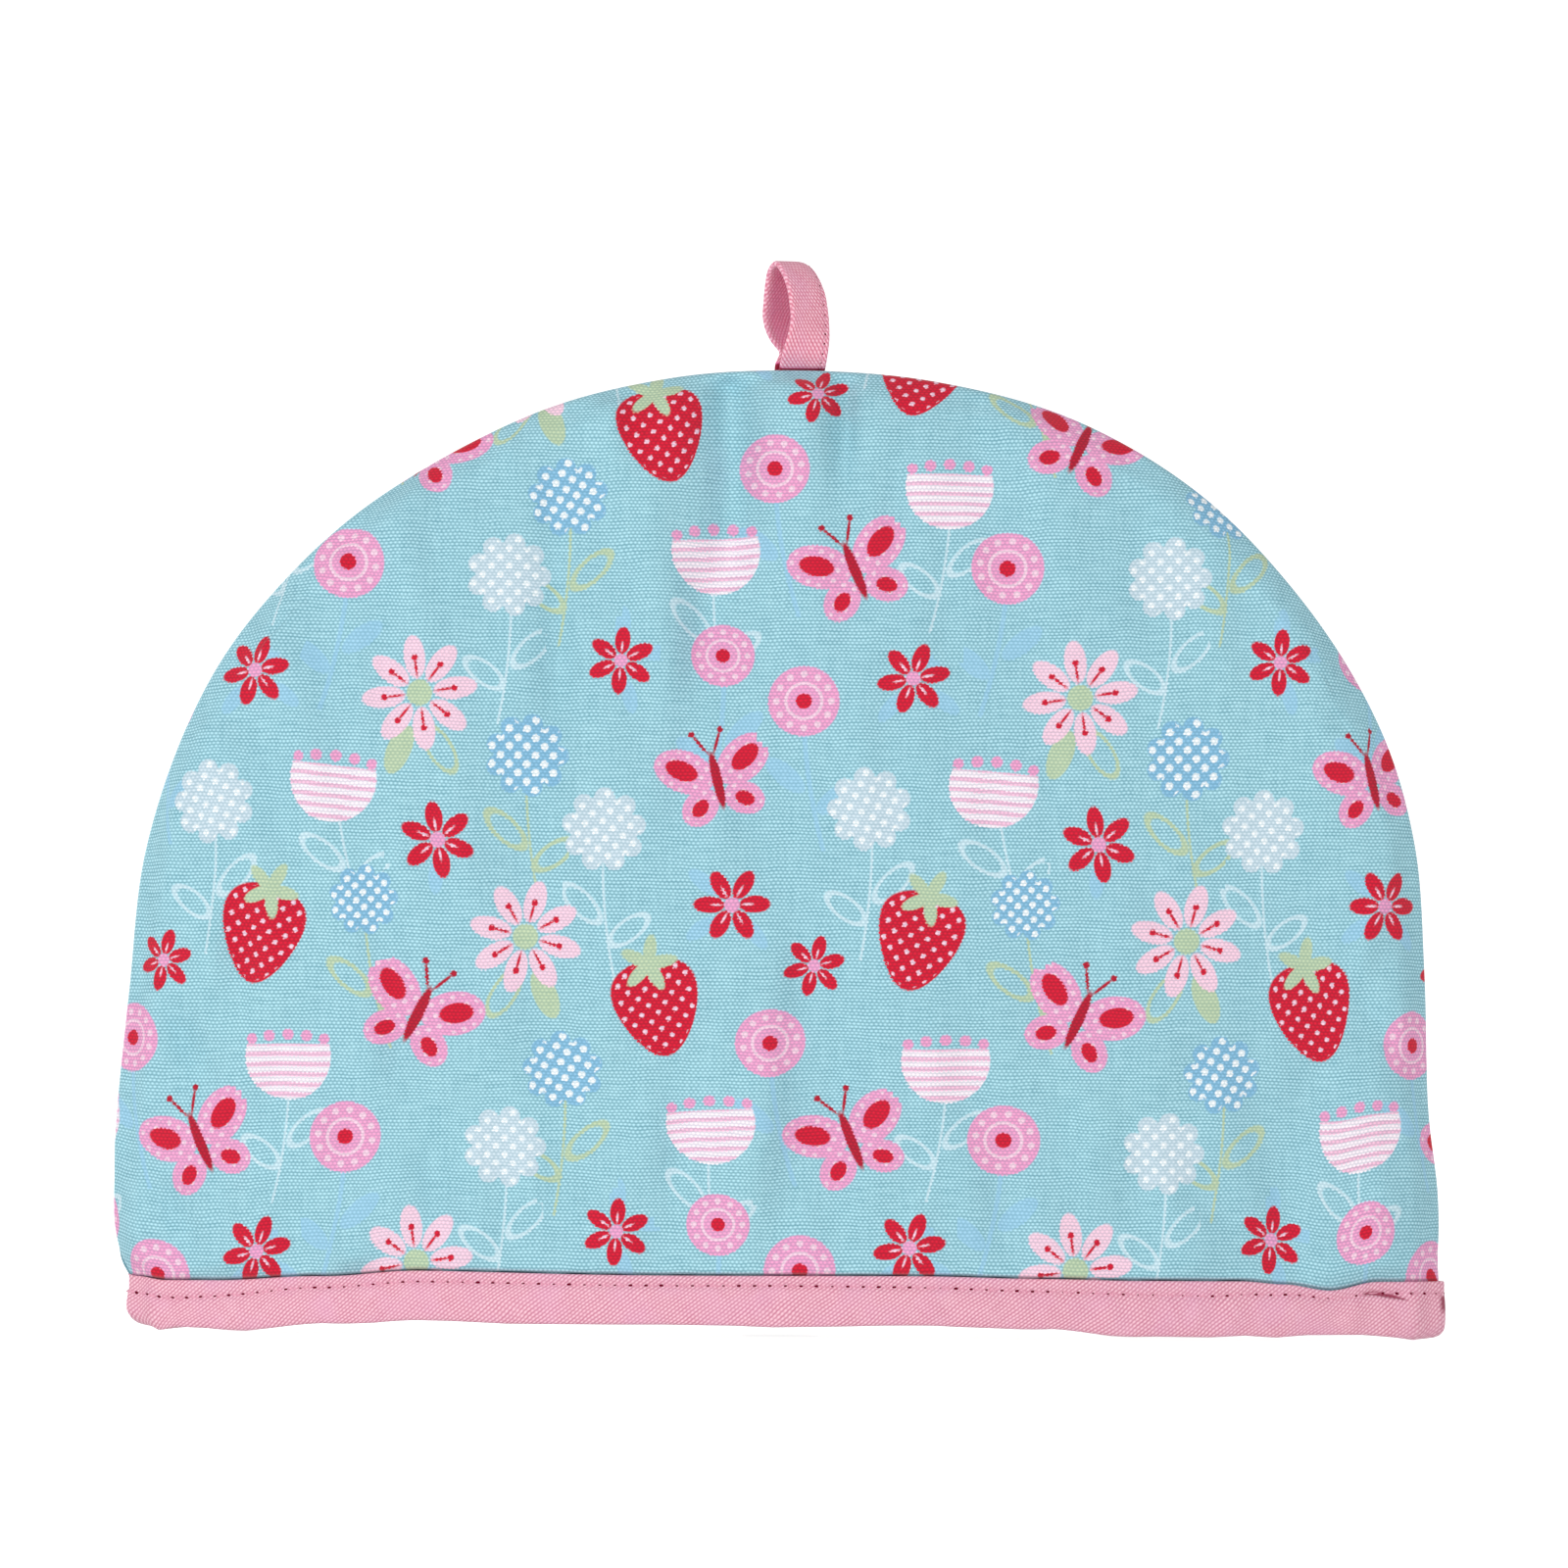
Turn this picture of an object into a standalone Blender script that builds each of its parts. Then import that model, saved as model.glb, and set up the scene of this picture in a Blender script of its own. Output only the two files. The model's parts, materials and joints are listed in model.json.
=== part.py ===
"""A padded tea cosy: two half-dome panels seamed round the dome, a bound hem and a hanging loop.

Units are metres, +Z is up and the front faces -Y. The cosy stands on its hem, which is open to a
lens, and the origin is under its middle on the surface that it stands on. Each panel is one padded
wall: outer cloth, wadding and inner cloth together.
"""

import math
from bisect import bisect_right

import bmesh
import bpy
from mathutils import Vector
from mathutils.geometry import interpolate_bezier

MM = 0.001

# Driving dimensions: the hollow and its walls.
HEM_DEPTH = 40.0 * MM  # from the seam plane to the inner cloth, at the middle of the hem
DEPTH_POWER = 1.5  # how the hollow narrows upwards: 1 is straight, more is fuller
WALL = 6.0 * MM  # padded wall
HEM_WALL = 3.5 * MM  # the same wall squeezed inside the binding
SWELL_HEIGHT = 6.2 * MM  # over which the wall swells above the binding
PIECE_GAP = 0.3 * MM  # between neighbouring pieces

# Driving dimensions: the seam that joins the panels.
SEAM_WIDTH = 7.0 * MM  # seam allowance, lying flat between the two panels
SEAM_GROOVE = 1.2 * MM  # how far the seam line is pulled in between the two rolled edges
GROOVE_LIP = 1.9 * MM  # from the seam plane to the crest of a rolled edge
GROOVE_RISE = 15.0 * MM  # height above the binding over which the groove opens

# Driving dimensions: the binding.
BINDING_HEIGHT = 13.6 * MM
BINDING_CLOTH = 1.2 * MM  # folded strip, two layers
BINDING_CORNER = 1.0 * MM  # rounding of its lower edges
BINDING_FOLD = 0.4 * MM  # rounding of its upper edges
NOSE_LENGTH = 45.0 * MM  # stretch at each end where the two legs draw level

# Driving dimensions: the loop.
LOOP_X = 2.7 * MM  # its middle, a little right of the cosy's
TAPE_WIDTH = 12.0 * MM
TAPE_CLOTH = 1.5 * MM
TAPE_CORNER = 0.35 * MM
TAPE_DEPTH = 4.6 * MM  # how far the ends go down into the seam
LOOP_TURN = math.radians(25)  # the free part turns its face to the right
LOOP_TURN_HEIGHT = 6.0 * MM  # height over which it turns
POCKET_RAMP = 2.0 * MM  # over which the seam closes again round the tape

# The outline, from the top of the binding on the left round to the right. columns: x, z
OUTLINE_MM = [
    (-167.1, 13.7),
    (-171.3, 30.0),
    (-171.6, 52.0),
    (-168.6, 88.0),
    (-164.6, 124.0),
    (-152.8, 159.0),
    (-135.6, 186.5),
    (-107.6, 213.5),
    (-67.8, 236.3),
    (-31.9, 246.4),
    (2.1, 248.8),
    (38.1, 246.3),
    (74.2, 236.8),
    (107.3, 217.4),
    (134.5, 189.0),
    (153.3, 158.5),
    (162.8, 128.0),
    (165.7, 95.0),
    (166.5, 60.0),
    (169.1, 36.0),
    (169.4, 13.7),
]

# The hem lies flat near the left end and along the right third, and arches between them. The
# binding is uneven in height. columns: x, lift off the surface, height of the binding
HEM_MM = [
    (-172.0, 2.4, 13.4),
    (-165.0, 1.0, 13.2),
    (-158.0, 0.0, 13.4),
    (-146.0, 0.0, 13.6),
    (-118.0, 1.8, 13.3),
    (-92.0, 3.8, 13.1),
    (-40.0, 3.2, 13.2),
    (36.0, 3.5, 13.2),
    (68.0, 1.6, 14.5),
    (92.0, 0.0, 15.7),
    (118.0, 0.0, 15.6),
    (129.0, 0.0, 14.8),
    (141.0, 0.0, 13.2),
    (153.0, 0.0, 15.4),
    (172.0, 0.0, 15.4),
]
BACK_LIFT = 0.75  # the back hem arches less than the front one
LIFT_FADE = (20.0 * MM, 95.0 * MM)  # heights between which the arch fades into the panel

# Soft troughs (+) and ridges (-) of the panels. The lean is in degrees from upright, + to the
# right. columns: side, x, z, length, width, depth, lean
CREASES_MM = [
    ("front", -25, 185, 150, 13, 2.4, -6),
    ("front", -7, 170, 170, 12, -1.5, -6),
    ("front", 14, 222, 40, 9, 2.0, -10),
    ("front", 28, 210, 60, 11, -1.2, 6),
    ("front", -62, 200, 50, 14, 1.2, -4),
    ("front", -71, 150, 60, 14, 1.0, 2),
    ("front", 103, 182, 90, 14, 1.5, 24),
    ("front", 149, 95, 60, 13, 1.5, -6),
    ("front", -150, 50, 46, 13, 1.4, 80),
    ("front", -120, 34, 30, 14, -1.2, 0),
    ("back", 33, 180, 140, 15, 2.0, 7),
    ("back", -49, 190, 110, 16, 1.4, -8),
    ("back", 95, 130, 90, 18, -1.3, 10),
    ("back", -111, 90, 90, 18, 1.4, -12),
]
CREASE_FULL_BULGE = 9.0 * MM  # creases are at their full depth where the panel stands off this far
CREASE_HEM_FADE = (20.0 * MM, 48.0 * MM)

# The loop's centre line, from one end to the other. columns: across the tape's faces (+ towards
# the front), up from the top of the seam
LOOP_PATH_MM = [
    (0.9, -4.6),
    (0.95, 0.0),
    (2.9, 4.0),
    (5.1, 8.0),
    (5.9, 12.6),
    (5.3, 17.8),
    (2.4, 22.8),
    (-2.6, 26.8),
    (-6.6, 24.2),
    (-8.0, 19.6),
    (-8.3, 14.4),
    (-7.2, 9.3),
    (-3.7, 4.4),
    (-0.95, 0.0),
    (-0.9, -4.6),
]

# How fine the solids are.
CURVE_STEPS = 24  # along each stretch of the outline
LOOP_STEPS = 3  # along each stretch of the loop
TOP_COLUMNS = 24
SIDE_ROWS = 9  # from the hem zone up to the shoulders
GROOVE_ROWS = 3
ROLL_ROWS = 5
SHOULDERS = (0.27, 0.74)  # shares of the outline where the panel's sides end and its top begins
COLUMN_SPACE = 4.0 * MM  # the least between two columns
HEM_TOP = BINDING_HEIGHT + 0.1 * MM  # the wall stays squeezed up to here
HEM_ROWS = [BINDING_CLOTH + PIECE_GAP, 7.5 * MM, HEM_TOP, 14.9 * MM, 16.9 * MM, 20.0 * MM, 26.0 * MM]
UPRIGHT_END = 60.0 * MM  # the rolled edge's rows are level at the hem zone and square above this

# columns: base colour, roughness
MATERIALS = {
    "printed_canvas": ((0.35, 0.62, 0.70, 1.0), 0.85),
    "pink_binding": ((0.83, 0.41, 0.53, 1.0), 0.85),
    "pink_tape": ((0.80, 0.35, 0.47, 1.0), 0.85),
}


def mix(first, second, share):
    """Part of the way from first to second."""
    return first + (second - first) * share


def smooth(value, low, high):
    """0 below low, 1 above high, with an S-shaped rise between them."""
    share = min(1.0, max(0.0, (value - low) / (high - low)))
    return share * share * (3.0 - 2.0 * share)


def look_up(keys, values, key):
    """The value at a key, by straight lines between rising keys."""
    place = min(max(bisect_right(keys, key), 1), len(keys) - 1)
    share = (key - keys[place - 1]) / (keys[place] - keys[place - 1])
    return mix(values[place - 1], values[place], min(1.0, max(0.0, share)))


def smooth_curve(table_mm, steps):
    """A polyline on a smooth curve through a table's points, with steps to each stretch."""
    knots = [Vector((a * MM, b * MM, 0.0)) for a, b in table_mm]
    ends = [2 * knots[0] - knots[1]] + knots + [2 * knots[-1] - knots[-2]]
    curve = [knots[0]]
    for before, start, stop, after in zip(ends, knots, knots[1:], ends[3:]):
        out_handle = start + (stop - before) / 6
        in_handle = stop - (after - start) / 6
        curve += interpolate_bezier(start, out_handle, in_handle, stop, steps + 1)[1:]
    return curve


def tangents(curve):
    """The direction of a polyline at each of its points."""
    following = curve[1:] + curve[-1:]
    leading = curve[:1] + curve[:-1]
    return [(after - before).normalized() for before, after in zip(leading, following)]


OUTLINE = smooth_curve(OUTLINE_MM, CURVE_STEPS)
INWARD = [Vector((along.y, -along.x, 0.0)) for along in tangents(OUTLINE)]
DISTANCE = [0.0]
for start_point, end_point in zip(OUTLINE, OUTLINE[1:]):
    DISTANCE.append(DISTANCE[-1] + (end_point - start_point).length)
SHARES = [distance / DISTANCE[-1] for distance in DISTANCE]


class Dome:
    """The outline moved inwards by an inset, read by height."""

    def __init__(self, inset):
        points = [point + inward * inset for point, inward in zip(OUTLINE, INWARD)]
        crest = max(range(len(points)), key=lambda i: points[i].y)
        self.top = points[crest].y
        self.left_side = self.rising(points[: crest + 1])
        self.right_side = self.rising(points[crest:][::-1])

    @staticmethod
    def rising(points):
        """The heights and the x of one side, from the bottom up."""
        return [p.y for p in points], [p.x for p in points]

    def sides(self, z):
        """The left and right x at a height. Below the outline's ends the sides are upright."""
        return look_up(*self.left_side, z), look_up(*self.right_side, z)


OUTER = Dome(0.0)
INNER = Dome(SEAM_WIDTH)


def bulge(x, z, dome):
    """How far a panel stands off the seam plane, before its wall and its creases."""
    if z >= dome.top:
        return 0.0
    left, right = dome.sides(z)
    across = (2 * x - left - right) / (right - left)
    depth = HEM_DEPTH * (1 - (max(z, 0.0) / dome.top) ** DEPTH_POWER)
    return depth * max(0.0, 1 - across * across)


def crease(x, z, side):
    """The panel's troughs and ridges at a point, + inwards."""
    total = 0.0
    for name, middle_x, middle_z, length, width, depth, lean in CREASES_MM:
        if name != side:
            continue
        turn = math.radians(lean)
        over, up = x / MM - middle_x, z / MM - middle_z
        along = over * math.sin(turn) + up * math.cos(turn)
        off = over * math.cos(turn) - up * math.sin(turn)
        total += depth * MM * math.exp(-((off / width) ** 2) - (2 * along / length) ** 2)
    stand_off = bulge(x, z, INNER)
    return total * smooth(stand_off, 0.0, CREASE_FULL_BULGE) * smooth(z, *CREASE_HEM_FADE)


def hem_shift(x, z, side):
    """How far the hem's arch and the binding's uneven height raise a point."""
    keys = [row[0] * MM for row in HEM_MM]
    place = min(max(bisect_right(keys, x), 1), len(keys) - 1)
    share = smooth(x, keys[place - 1], keys[place])
    lift = mix(HEM_MM[place - 1][1], HEM_MM[place][1], share) * MM
    height = mix(HEM_MM[place - 1][2], HEM_MM[place][2], share) * MM
    lift *= BACK_LIFT if side == "back" else 1.0
    stretch = (height - BINDING_HEIGHT) * min(1.0, max(0.0, z / BINDING_HEIGHT))
    return (lift + stretch) * (1 - smooth(z, *LIFT_FADE))


def wall(z):
    """The padded wall's thickness at a height."""
    swell = min(1.0, max(0.0, (z - HEM_TOP) / SWELL_HEIGHT))
    return mix(HEM_WALL, WALL, math.sin(swell * math.pi / 2))


def seam_plane(x, z):
    """Half the gap between the panels: wider where they hold the ends of the loop's tape."""
    beside = abs(x - LOOP_X) - TAPE_WIDTH / 2 - PIECE_GAP
    below = OUTER.top - z - TAPE_DEPTH - PIECE_GAP
    closing = max(0.0, beside / POCKET_RAMP) + max(0.0, below / POCKET_RAMP)
    held = LOOP_PATH_MM[0][0] * MM + TAPE_CLOTH / 2 + PIECE_GAP
    return mix(held, PIECE_GAP / 2, min(1.0, closing))


def roll_profiles():
    """The rolled edge in section, from the seam line in to the flat of the wall.

    Returns two lists of (inset, share of the wall's thickness): the edge with its groove, and the
    edge as the binding presses it shut.
    """
    lip = GROOVE_LIP / WALL
    grooved = []
    for row in range(GROOVE_ROWS):
        turn = math.pi / 2 * (1 - row / GROOVE_ROWS)
        grooved.append((SEAM_GROOVE * (1 - math.cos(turn)), lip * (1 - math.sin(turn))))
    for row in range(ROLL_ROWS + 1):
        turn = math.pi / 2 * row / ROLL_ROWS
        grooved.append((SEAM_WIDTH * (1 - math.cos(turn)), mix(lip, 1.0, math.sin(turn))))
    pressed = []
    for row in range(len(grooved)):
        turn = math.pi / 2 * row / (len(grooved) - 1)
        pressed.append((SEAM_WIDTH * (1 - math.cos(turn)), math.sin(turn)))
    return grooved, pressed


GROOVED, PRESSED = roll_profiles()


class Node:
    """A place on a panel: where its outer and inner skins are in the outline's plane.

    wall_share is the part of the wall's thickness there, and bulge_share the part of the bulge
    that the outer skin takes. Both run from 0 at the seam line to 1 on the open panel.
    """

    def __init__(self, outer, inner, wall_share=1.0, bulge_share=1.0):
        self.outer, self.inner = outer, inner
        self.wall_share, self.bulge_share = wall_share, bulge_share

    def points(self, side):
        """The outer and inner skins' points in space."""
        facing = -1.0 if side == "front" else 1.0
        places = []
        for (x, z), dome in ((self.outer, OUTER), (self.inner, INNER)):
            plane = seam_plane(x, z)
            share = self.bulge_share if dome is OUTER else 1.0
            y = plane + bulge(x, z, dome) * share - crease(x, z, side)
            if dome is OUTER:
                y += (wall(z) + PIECE_GAP / 2 - plane) * self.wall_share
            places.append(Vector((x, facing * y, z + hem_shift(x, z, side))))
        return places


def rolled_edge(point, inward):
    """The nodes from the seam line in to the flat of the wall, at one point of the outline."""
    x, z = point
    openness = smooth(z, HEM_TOP, HEM_TOP + GROOVE_RISE)
    nodes = []
    for row, (open_edge, shut_edge) in enumerate(zip(GROOVED, PRESSED)):
        inset = mix(shut_edge[0], open_edge[0], openness)
        wall_share = mix(shut_edge[1], open_edge[1], openness)
        bulge_share = row / (len(GROOVED) - 1)
        inner_inset = mix(SEAM_GROOVE * openness, SEAM_WIDTH, bulge_share)
        outer = (x + inward.x * inset, z + inward.y * inset)
        inner = (x + inward.x * inner_inset, z + inward.y * inner_inset)
        nodes.append(Node(outer, inner, wall_share, bulge_share))
    return nodes


def hem_row(z):
    """The nodes straight across a panel at a height in the hem zone, from seam to seam."""
    left, right = OUTER.sides(z)
    row = rolled_edge((left, z), Vector((1.0, 0.0)))
    for share in COLUMNS[1:-1]:
        x = mix(left + SEAM_WIDTH, right - SEAM_WIDTH, share)
        row.append(Node((x, z), (x, z)))
    return row + rolled_edge((right, z), Vector((-1.0, 0.0)))[::-1]


def station(share):
    """A point of the outline and the direction into the panel there, level near the hem."""
    point = look_up(SHARES, OUTLINE, share)
    inward = look_up(SHARES, INWARD, share)
    level = Vector((-1.0 if share > 0.5 else 1.0, 0.0, 0.0))
    inward = mix(level, inward, smooth(point.y, HEM_ROWS[-1], UPRIGHT_END)).normalized()
    return (point.x, point.y), inward


def share_at(height, low, high):
    """The share of the outline, between two shares, at which it passes a height."""
    rises = station(high)[0][1] > station(low)[0][1]
    for _ in range(40):
        middle = (low + high) / 2
        if (station(middle)[0][1] < height) == rises:
            low = middle
        else:
            high = middle
    return low


def column_shares():
    """The columns across a panel, 0 to 1: even, and closer where the seam holds the loop."""
    pocket = []
    for reach in (PIECE_GAP, PIECE_GAP + POCKET_RAMP):
        pocket += [LOOP_X - TAPE_WIDTH / 2 - reach, LOOP_X + TAPE_WIDTH / 2 + reach]
    low, high = SHOULDERS
    xs = [station(mix(low, high, step / 200))[0][0] for step in range(201)]
    fixed = [look_up(xs, [step / 200 for step in range(201)], x) for x in pocket]
    least = COLUMN_SPACE / ((high - low) * DISTANCE[-1])
    even = [step / TOP_COLUMNS for step in range(TOP_COLUMNS + 1)]
    return sorted(fixed + [u for u in even if min(abs(u - v) for v in fixed) > least])


COLUMNS = column_shares()


def dome_grids():
    """The panel above the hem zone: its rolled border, and the patch that the border encloses."""
    low, high = SHOULDERS
    first = share_at(HEM_ROWS[-1], 0.0, low)
    last = share_at(HEM_ROWS[-1], high, 1.0)
    left = [rolled_edge(*station(mix(first, low, row / SIDE_ROWS))) for row in range(SIDE_ROWS + 1)]
    right = [rolled_edge(*station(mix(last, high, row / SIDE_ROWS))) for row in range(SIDE_ROWS + 1)]
    top = [rolled_edge(*station(mix(low, high, share))) for share in COLUMNS]
    border = left + top[1:-1] + right[::-1]

    edge = len(GROOVED) - 1
    bottom = hem_row(HEM_ROWS[-1])[edge:-edge]
    patch = []
    for row in range(SIDE_ROWS + 1):
        rise = row / SIDE_ROWS
        nodes = []
        for column, share in enumerate(COLUMNS):
            place = []
            for i in range(2):
                sides = mix(left[row][edge].outer[i], right[row][edge].outer[i], share)
                ends = mix(bottom[column].outer[i], top[column][edge].outer[i], rise)
                low_corners = mix(bottom[0].outer[i], bottom[-1].outer[i], share)
                high_corners = mix(top[0][edge].outer[i], top[-1][edge].outer[i], share)
                place.append(sides + ends - mix(low_corners, high_corners, rise))
            nodes.append(Node(tuple(place), tuple(place)))
        patch.append(nodes)
    return [border, patch]


def add_grid(mesh, rows, closed=False):
    """Quads between rows of points. A closed grid joins its last row and column to its first."""
    verts = [[mesh.verts.new(point) for point in row] for row in rows]
    if closed:
        verts = [row + row[:1] for row in verts]
        verts.append(verts[0])
    for low, high in zip(verts, verts[1:]):
        for a, b, c, d in zip(low, low[1:], high[1:], high):
            mesh.faces.new((a, b, c, d))


def finish(name, mesh, material, collection):
    """Welds a mesh into one closed solid and puts it into the scene."""
    bmesh.ops.remove_doubles(mesh, verts=mesh.verts, dist=0.01 * MM)
    bmesh.ops.recalc_face_normals(mesh, faces=mesh.faces)
    data = bpy.data.meshes.new(name)
    mesh.to_mesh(data)
    mesh.free()
    data.shade_smooth()
    data.set_sharp_from_angle(angle=math.radians(40))
    data.materials.append(bpy.data.materials[material])
    collection.objects.link(bpy.data.objects.new(name, data))


def build_panel(side, collection):
    """One padded half-dome: its two skins meet at the seam line and across the bottom."""
    mesh = bmesh.new()
    hem_zone = [hem_row(z) for z in HEM_ROWS]
    for grid in [hem_zone] + dome_grids():
        pairs = [[node.points(side) for node in row] for row in grid]
        add_grid(mesh, [[outer for outer, inner in row] for row in pairs])
        add_grid(mesh, [[inner for outer, inner in row] for row in pairs])
    bottom = [node.points(side) for node in hem_zone[0]]
    add_grid(mesh, [[outer for outer, inner in bottom], [inner for outer, inner in bottom]])
    finish(side + "_panel", mesh, "printed_canvas", collection)


def outer_leg(z, offset):
    """Plan points at an offset outside the panels' outer skins at a height, right round the hem.

    They run from the left end along the front to the right end, and back along the back.
    """
    front = [node.points("front")[0].to_2d() for node in hem_row(z)]
    front[0].y = front[-1].y = 0.0
    plan = front + [Vector((point.x, -point.y)) for point in front[-2:0:-1]]
    moved = []
    for before, point, after in zip(plan[-1:] + plan[:-1], plan, plan[1:] + plan[:1]):
        first, second = (point - before).normalized(), (after - point).normalized()
        outward = Vector((first.y + second.y, -first.x - second.x)).normalized()
        square = outward.dot(Vector((first.y, -first.x)))
        moved.append(point + outward * offset / square)
    return moved


def inner_leg(z, offset):
    """Plan points at an offset inside the panels' inner skins, paired with those of outer_leg."""
    left, right = INNER.sides(z)

    def depth(x):
        slope = (bulge(x + MM, z, INNER) - bulge(x - MM, z, INNER)) / (2 * MM)
        return PIECE_GAP / 2 + bulge(x, z, INNER) - offset * math.hypot(1.0, slope)

    def tip(outside, inside):
        for _ in range(40):
            middle = (outside + inside) / 2
            outside, inside = (middle, inside) if depth(middle) < 0 else (outside, middle)
        return inside

    ends = tip(left, left + NOSE_LENGTH), tip(right, right - NOSE_LENGTH)
    row = hem_row(z)
    first, last = row[0].outer[0], row[-1].outer[0]
    front = []
    for node in row:
        x = node.outer[0]
        x += (ends[0] - first) * (1 - smooth(x, first, first + NOSE_LENGTH))
        x += (ends[1] - last) * smooth(x, last - NOSE_LENGTH, last)
        front.append(Vector((x, -max(0.0, depth(x)))))
    front[0].y = front[-1].y = 0.0
    return front + [Vector((point.x, -point.y)) for point in front[-2:0:-1]]


def build_binding(collection):
    """The folded strip round the lower edges: one closed ring with a U-shaped section."""
    near, far = PIECE_GAP, PIECE_GAP + BINDING_CLOTH
    top = BINDING_HEIGHT
    # columns: leg, offset from the panel, height
    section = [
        (outer_leg, far - BINDING_CORNER, 0.0),
        (outer_leg, far, BINDING_CORNER),
        (outer_leg, far, top - BINDING_FOLD),
        (outer_leg, far - BINDING_FOLD, top),
        (outer_leg, near + BINDING_FOLD, top),
        (outer_leg, near, top - BINDING_FOLD),
        (outer_leg, near, BINDING_CLOTH),
        (inner_leg, near, BINDING_CLOTH),
        (inner_leg, near, top - BINDING_FOLD),
        (inner_leg, near + BINDING_FOLD, top),
        (inner_leg, far - BINDING_FOLD, top),
        (inner_leg, far, top - BINDING_FOLD),
        (inner_leg, far, BINDING_CORNER),
        (inner_leg, far - BINDING_CORNER, 0.0),
    ]
    rings = []
    for leg, offset, z in section:
        ring = []
        for point in leg(z, offset):
            side = "front" if point.y <= 0 else "back"
            ring.append(Vector((point.x, point.y, z + hem_shift(point.x, z, side))))
        rings.append(ring)
    mesh = bmesh.new()
    add_grid(mesh, rings, closed=True)
    finish("hem_binding", mesh, "pink_binding", collection)


def build_loop(collection):
    """The tape loop: upright out of the seam, with its free part turned to the right."""
    path = smooth_curve(LOOP_PATH_MM, LOOP_STEPS)
    wide, thick, corner = TAPE_WIDTH / 2, TAPE_CLOTH / 2, TAPE_CORNER
    # columns: along the tape's width, through its thickness
    half_section = [
        (-wide + corner, thick),
        (0.0, thick),
        (wide - corner, thick),
        (wide, thick - corner),
    ]
    section = half_section + [(-a, -b) for a, b in half_section]
    rows = []
    for point, along in zip(path, tangents(path)):
        turn = LOOP_TURN * smooth(point.y, 0.0, LOOP_TURN_HEIGHT)
        width_axis = Vector((math.cos(turn), math.sin(turn), 0.0))
        across_axis = Vector((math.sin(turn), -math.cos(turn), 0.0))
        face_axis = across_axis * along.y - Vector((0.0, 0.0, along.x))
        middle = Vector((LOOP_X, 0.0, OUTER.top + point.y)) + across_axis * point.x
        rows.append([middle + width_axis * a + face_axis * b for a, b in section])
    mesh = bmesh.new()
    add_grid(mesh, [row + row[:1] for row in rows])
    for row in (rows[0], rows[-1]):
        mesh.faces.new([mesh.verts.new(point) for point in row])
    finish("hanging_loop", mesh, "pink_tape", collection)


def make_materials():
    """One plain finish for each kind of cloth."""
    for name, (colour, roughness) in MATERIALS.items():
        material = bpy.data.materials.new(name)
        material.use_nodes = True
        shader = material.node_tree.nodes["Principled BSDF"]
        shader.inputs["Base Color"].default_value = colour
        shader.inputs["Roughness"].default_value = roughness
        shader.inputs["Metallic"].default_value = 0.0


def main():
    for item in list(bpy.data.objects):
        bpy.data.objects.remove(item)
    collection = bpy.data.collections.new("tea_cosy")
    bpy.context.scene.collection.children.link(collection)
    make_materials()
    build_panel("front", collection)
    build_panel("back", collection)
    build_binding(collection)
    build_loop(collection)


main()
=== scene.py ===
import json
import math

import bmesh
import bpy
import numpy as np
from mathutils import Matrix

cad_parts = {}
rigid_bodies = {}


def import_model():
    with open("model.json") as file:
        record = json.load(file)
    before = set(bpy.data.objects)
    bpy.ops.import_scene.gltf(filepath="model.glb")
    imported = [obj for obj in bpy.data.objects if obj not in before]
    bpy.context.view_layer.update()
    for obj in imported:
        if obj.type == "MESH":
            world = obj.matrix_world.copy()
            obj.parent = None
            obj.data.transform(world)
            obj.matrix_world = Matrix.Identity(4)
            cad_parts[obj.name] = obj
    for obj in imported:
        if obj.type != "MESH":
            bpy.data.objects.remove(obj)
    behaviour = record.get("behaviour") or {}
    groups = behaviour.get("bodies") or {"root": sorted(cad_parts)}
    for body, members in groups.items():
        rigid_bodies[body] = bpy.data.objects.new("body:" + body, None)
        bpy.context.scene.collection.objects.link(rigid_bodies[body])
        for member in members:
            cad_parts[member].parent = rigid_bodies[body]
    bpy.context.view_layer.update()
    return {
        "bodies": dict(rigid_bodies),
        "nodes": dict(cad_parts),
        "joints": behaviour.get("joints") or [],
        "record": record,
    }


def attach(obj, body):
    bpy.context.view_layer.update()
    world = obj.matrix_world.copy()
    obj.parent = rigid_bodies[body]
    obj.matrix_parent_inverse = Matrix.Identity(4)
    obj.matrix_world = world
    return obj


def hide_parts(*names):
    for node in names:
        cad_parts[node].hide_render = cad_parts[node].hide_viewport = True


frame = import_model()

MM = 0.001

# Front and back panels. Each is a half-dome of printed cotton canvas, laid over wadding and a
# plain cotton lining. They are seamed together round the dome with their edges rolled over, so
# that the seam lies in a groove, and the hem is squeezed flat inside the binding.
HEM_DEPTH = 40.0 * MM  # from the seam plane to the lining, at the middle of the hem
DEPTH_POWER = 1.5  # how the hollow narrows upwards: 1 is straight, more is fuller
WALL = 6.0 * MM
HEM_WALL = 3.5 * MM  # the same wall squeezed inside the binding
SWELL_HEIGHT = 1.2 * MM  # over which the wall swells above the binding
PIECE_GAP = 0.3 * MM  # between neighbouring pieces
SEAM_WIDTH = 7.0 * MM  # of the rolled edge
SEAM_GROOVE = 1.2 * MM  # how far in the seam line lies
GROOVE_LIP = 1.9 * MM  # from the seam plane to the crest of a rolled edge
GROOVE_RISE = 15.0 * MM  # height above the binding over which the groove opens
BINDING_HEIGHT = 13.6 * MM
BINDING_CLOTH = 1.2 * MM  # folded strip, two layers
HEM_TOP = BINDING_HEIGHT + 0.1 * MM
LOOP_X = 2.7 * MM  # the middle of the loop
TAPE_WIDTH = 12.0 * MM
TAPE_CLOTH = 1.5 * MM
TAPE_DEPTH = 4.6 * MM  # how far its ends go down into the seam
TAPE_STAND = 0.9 * MM  # from the seam plane to the middle of the tape, where the seam holds it
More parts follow.
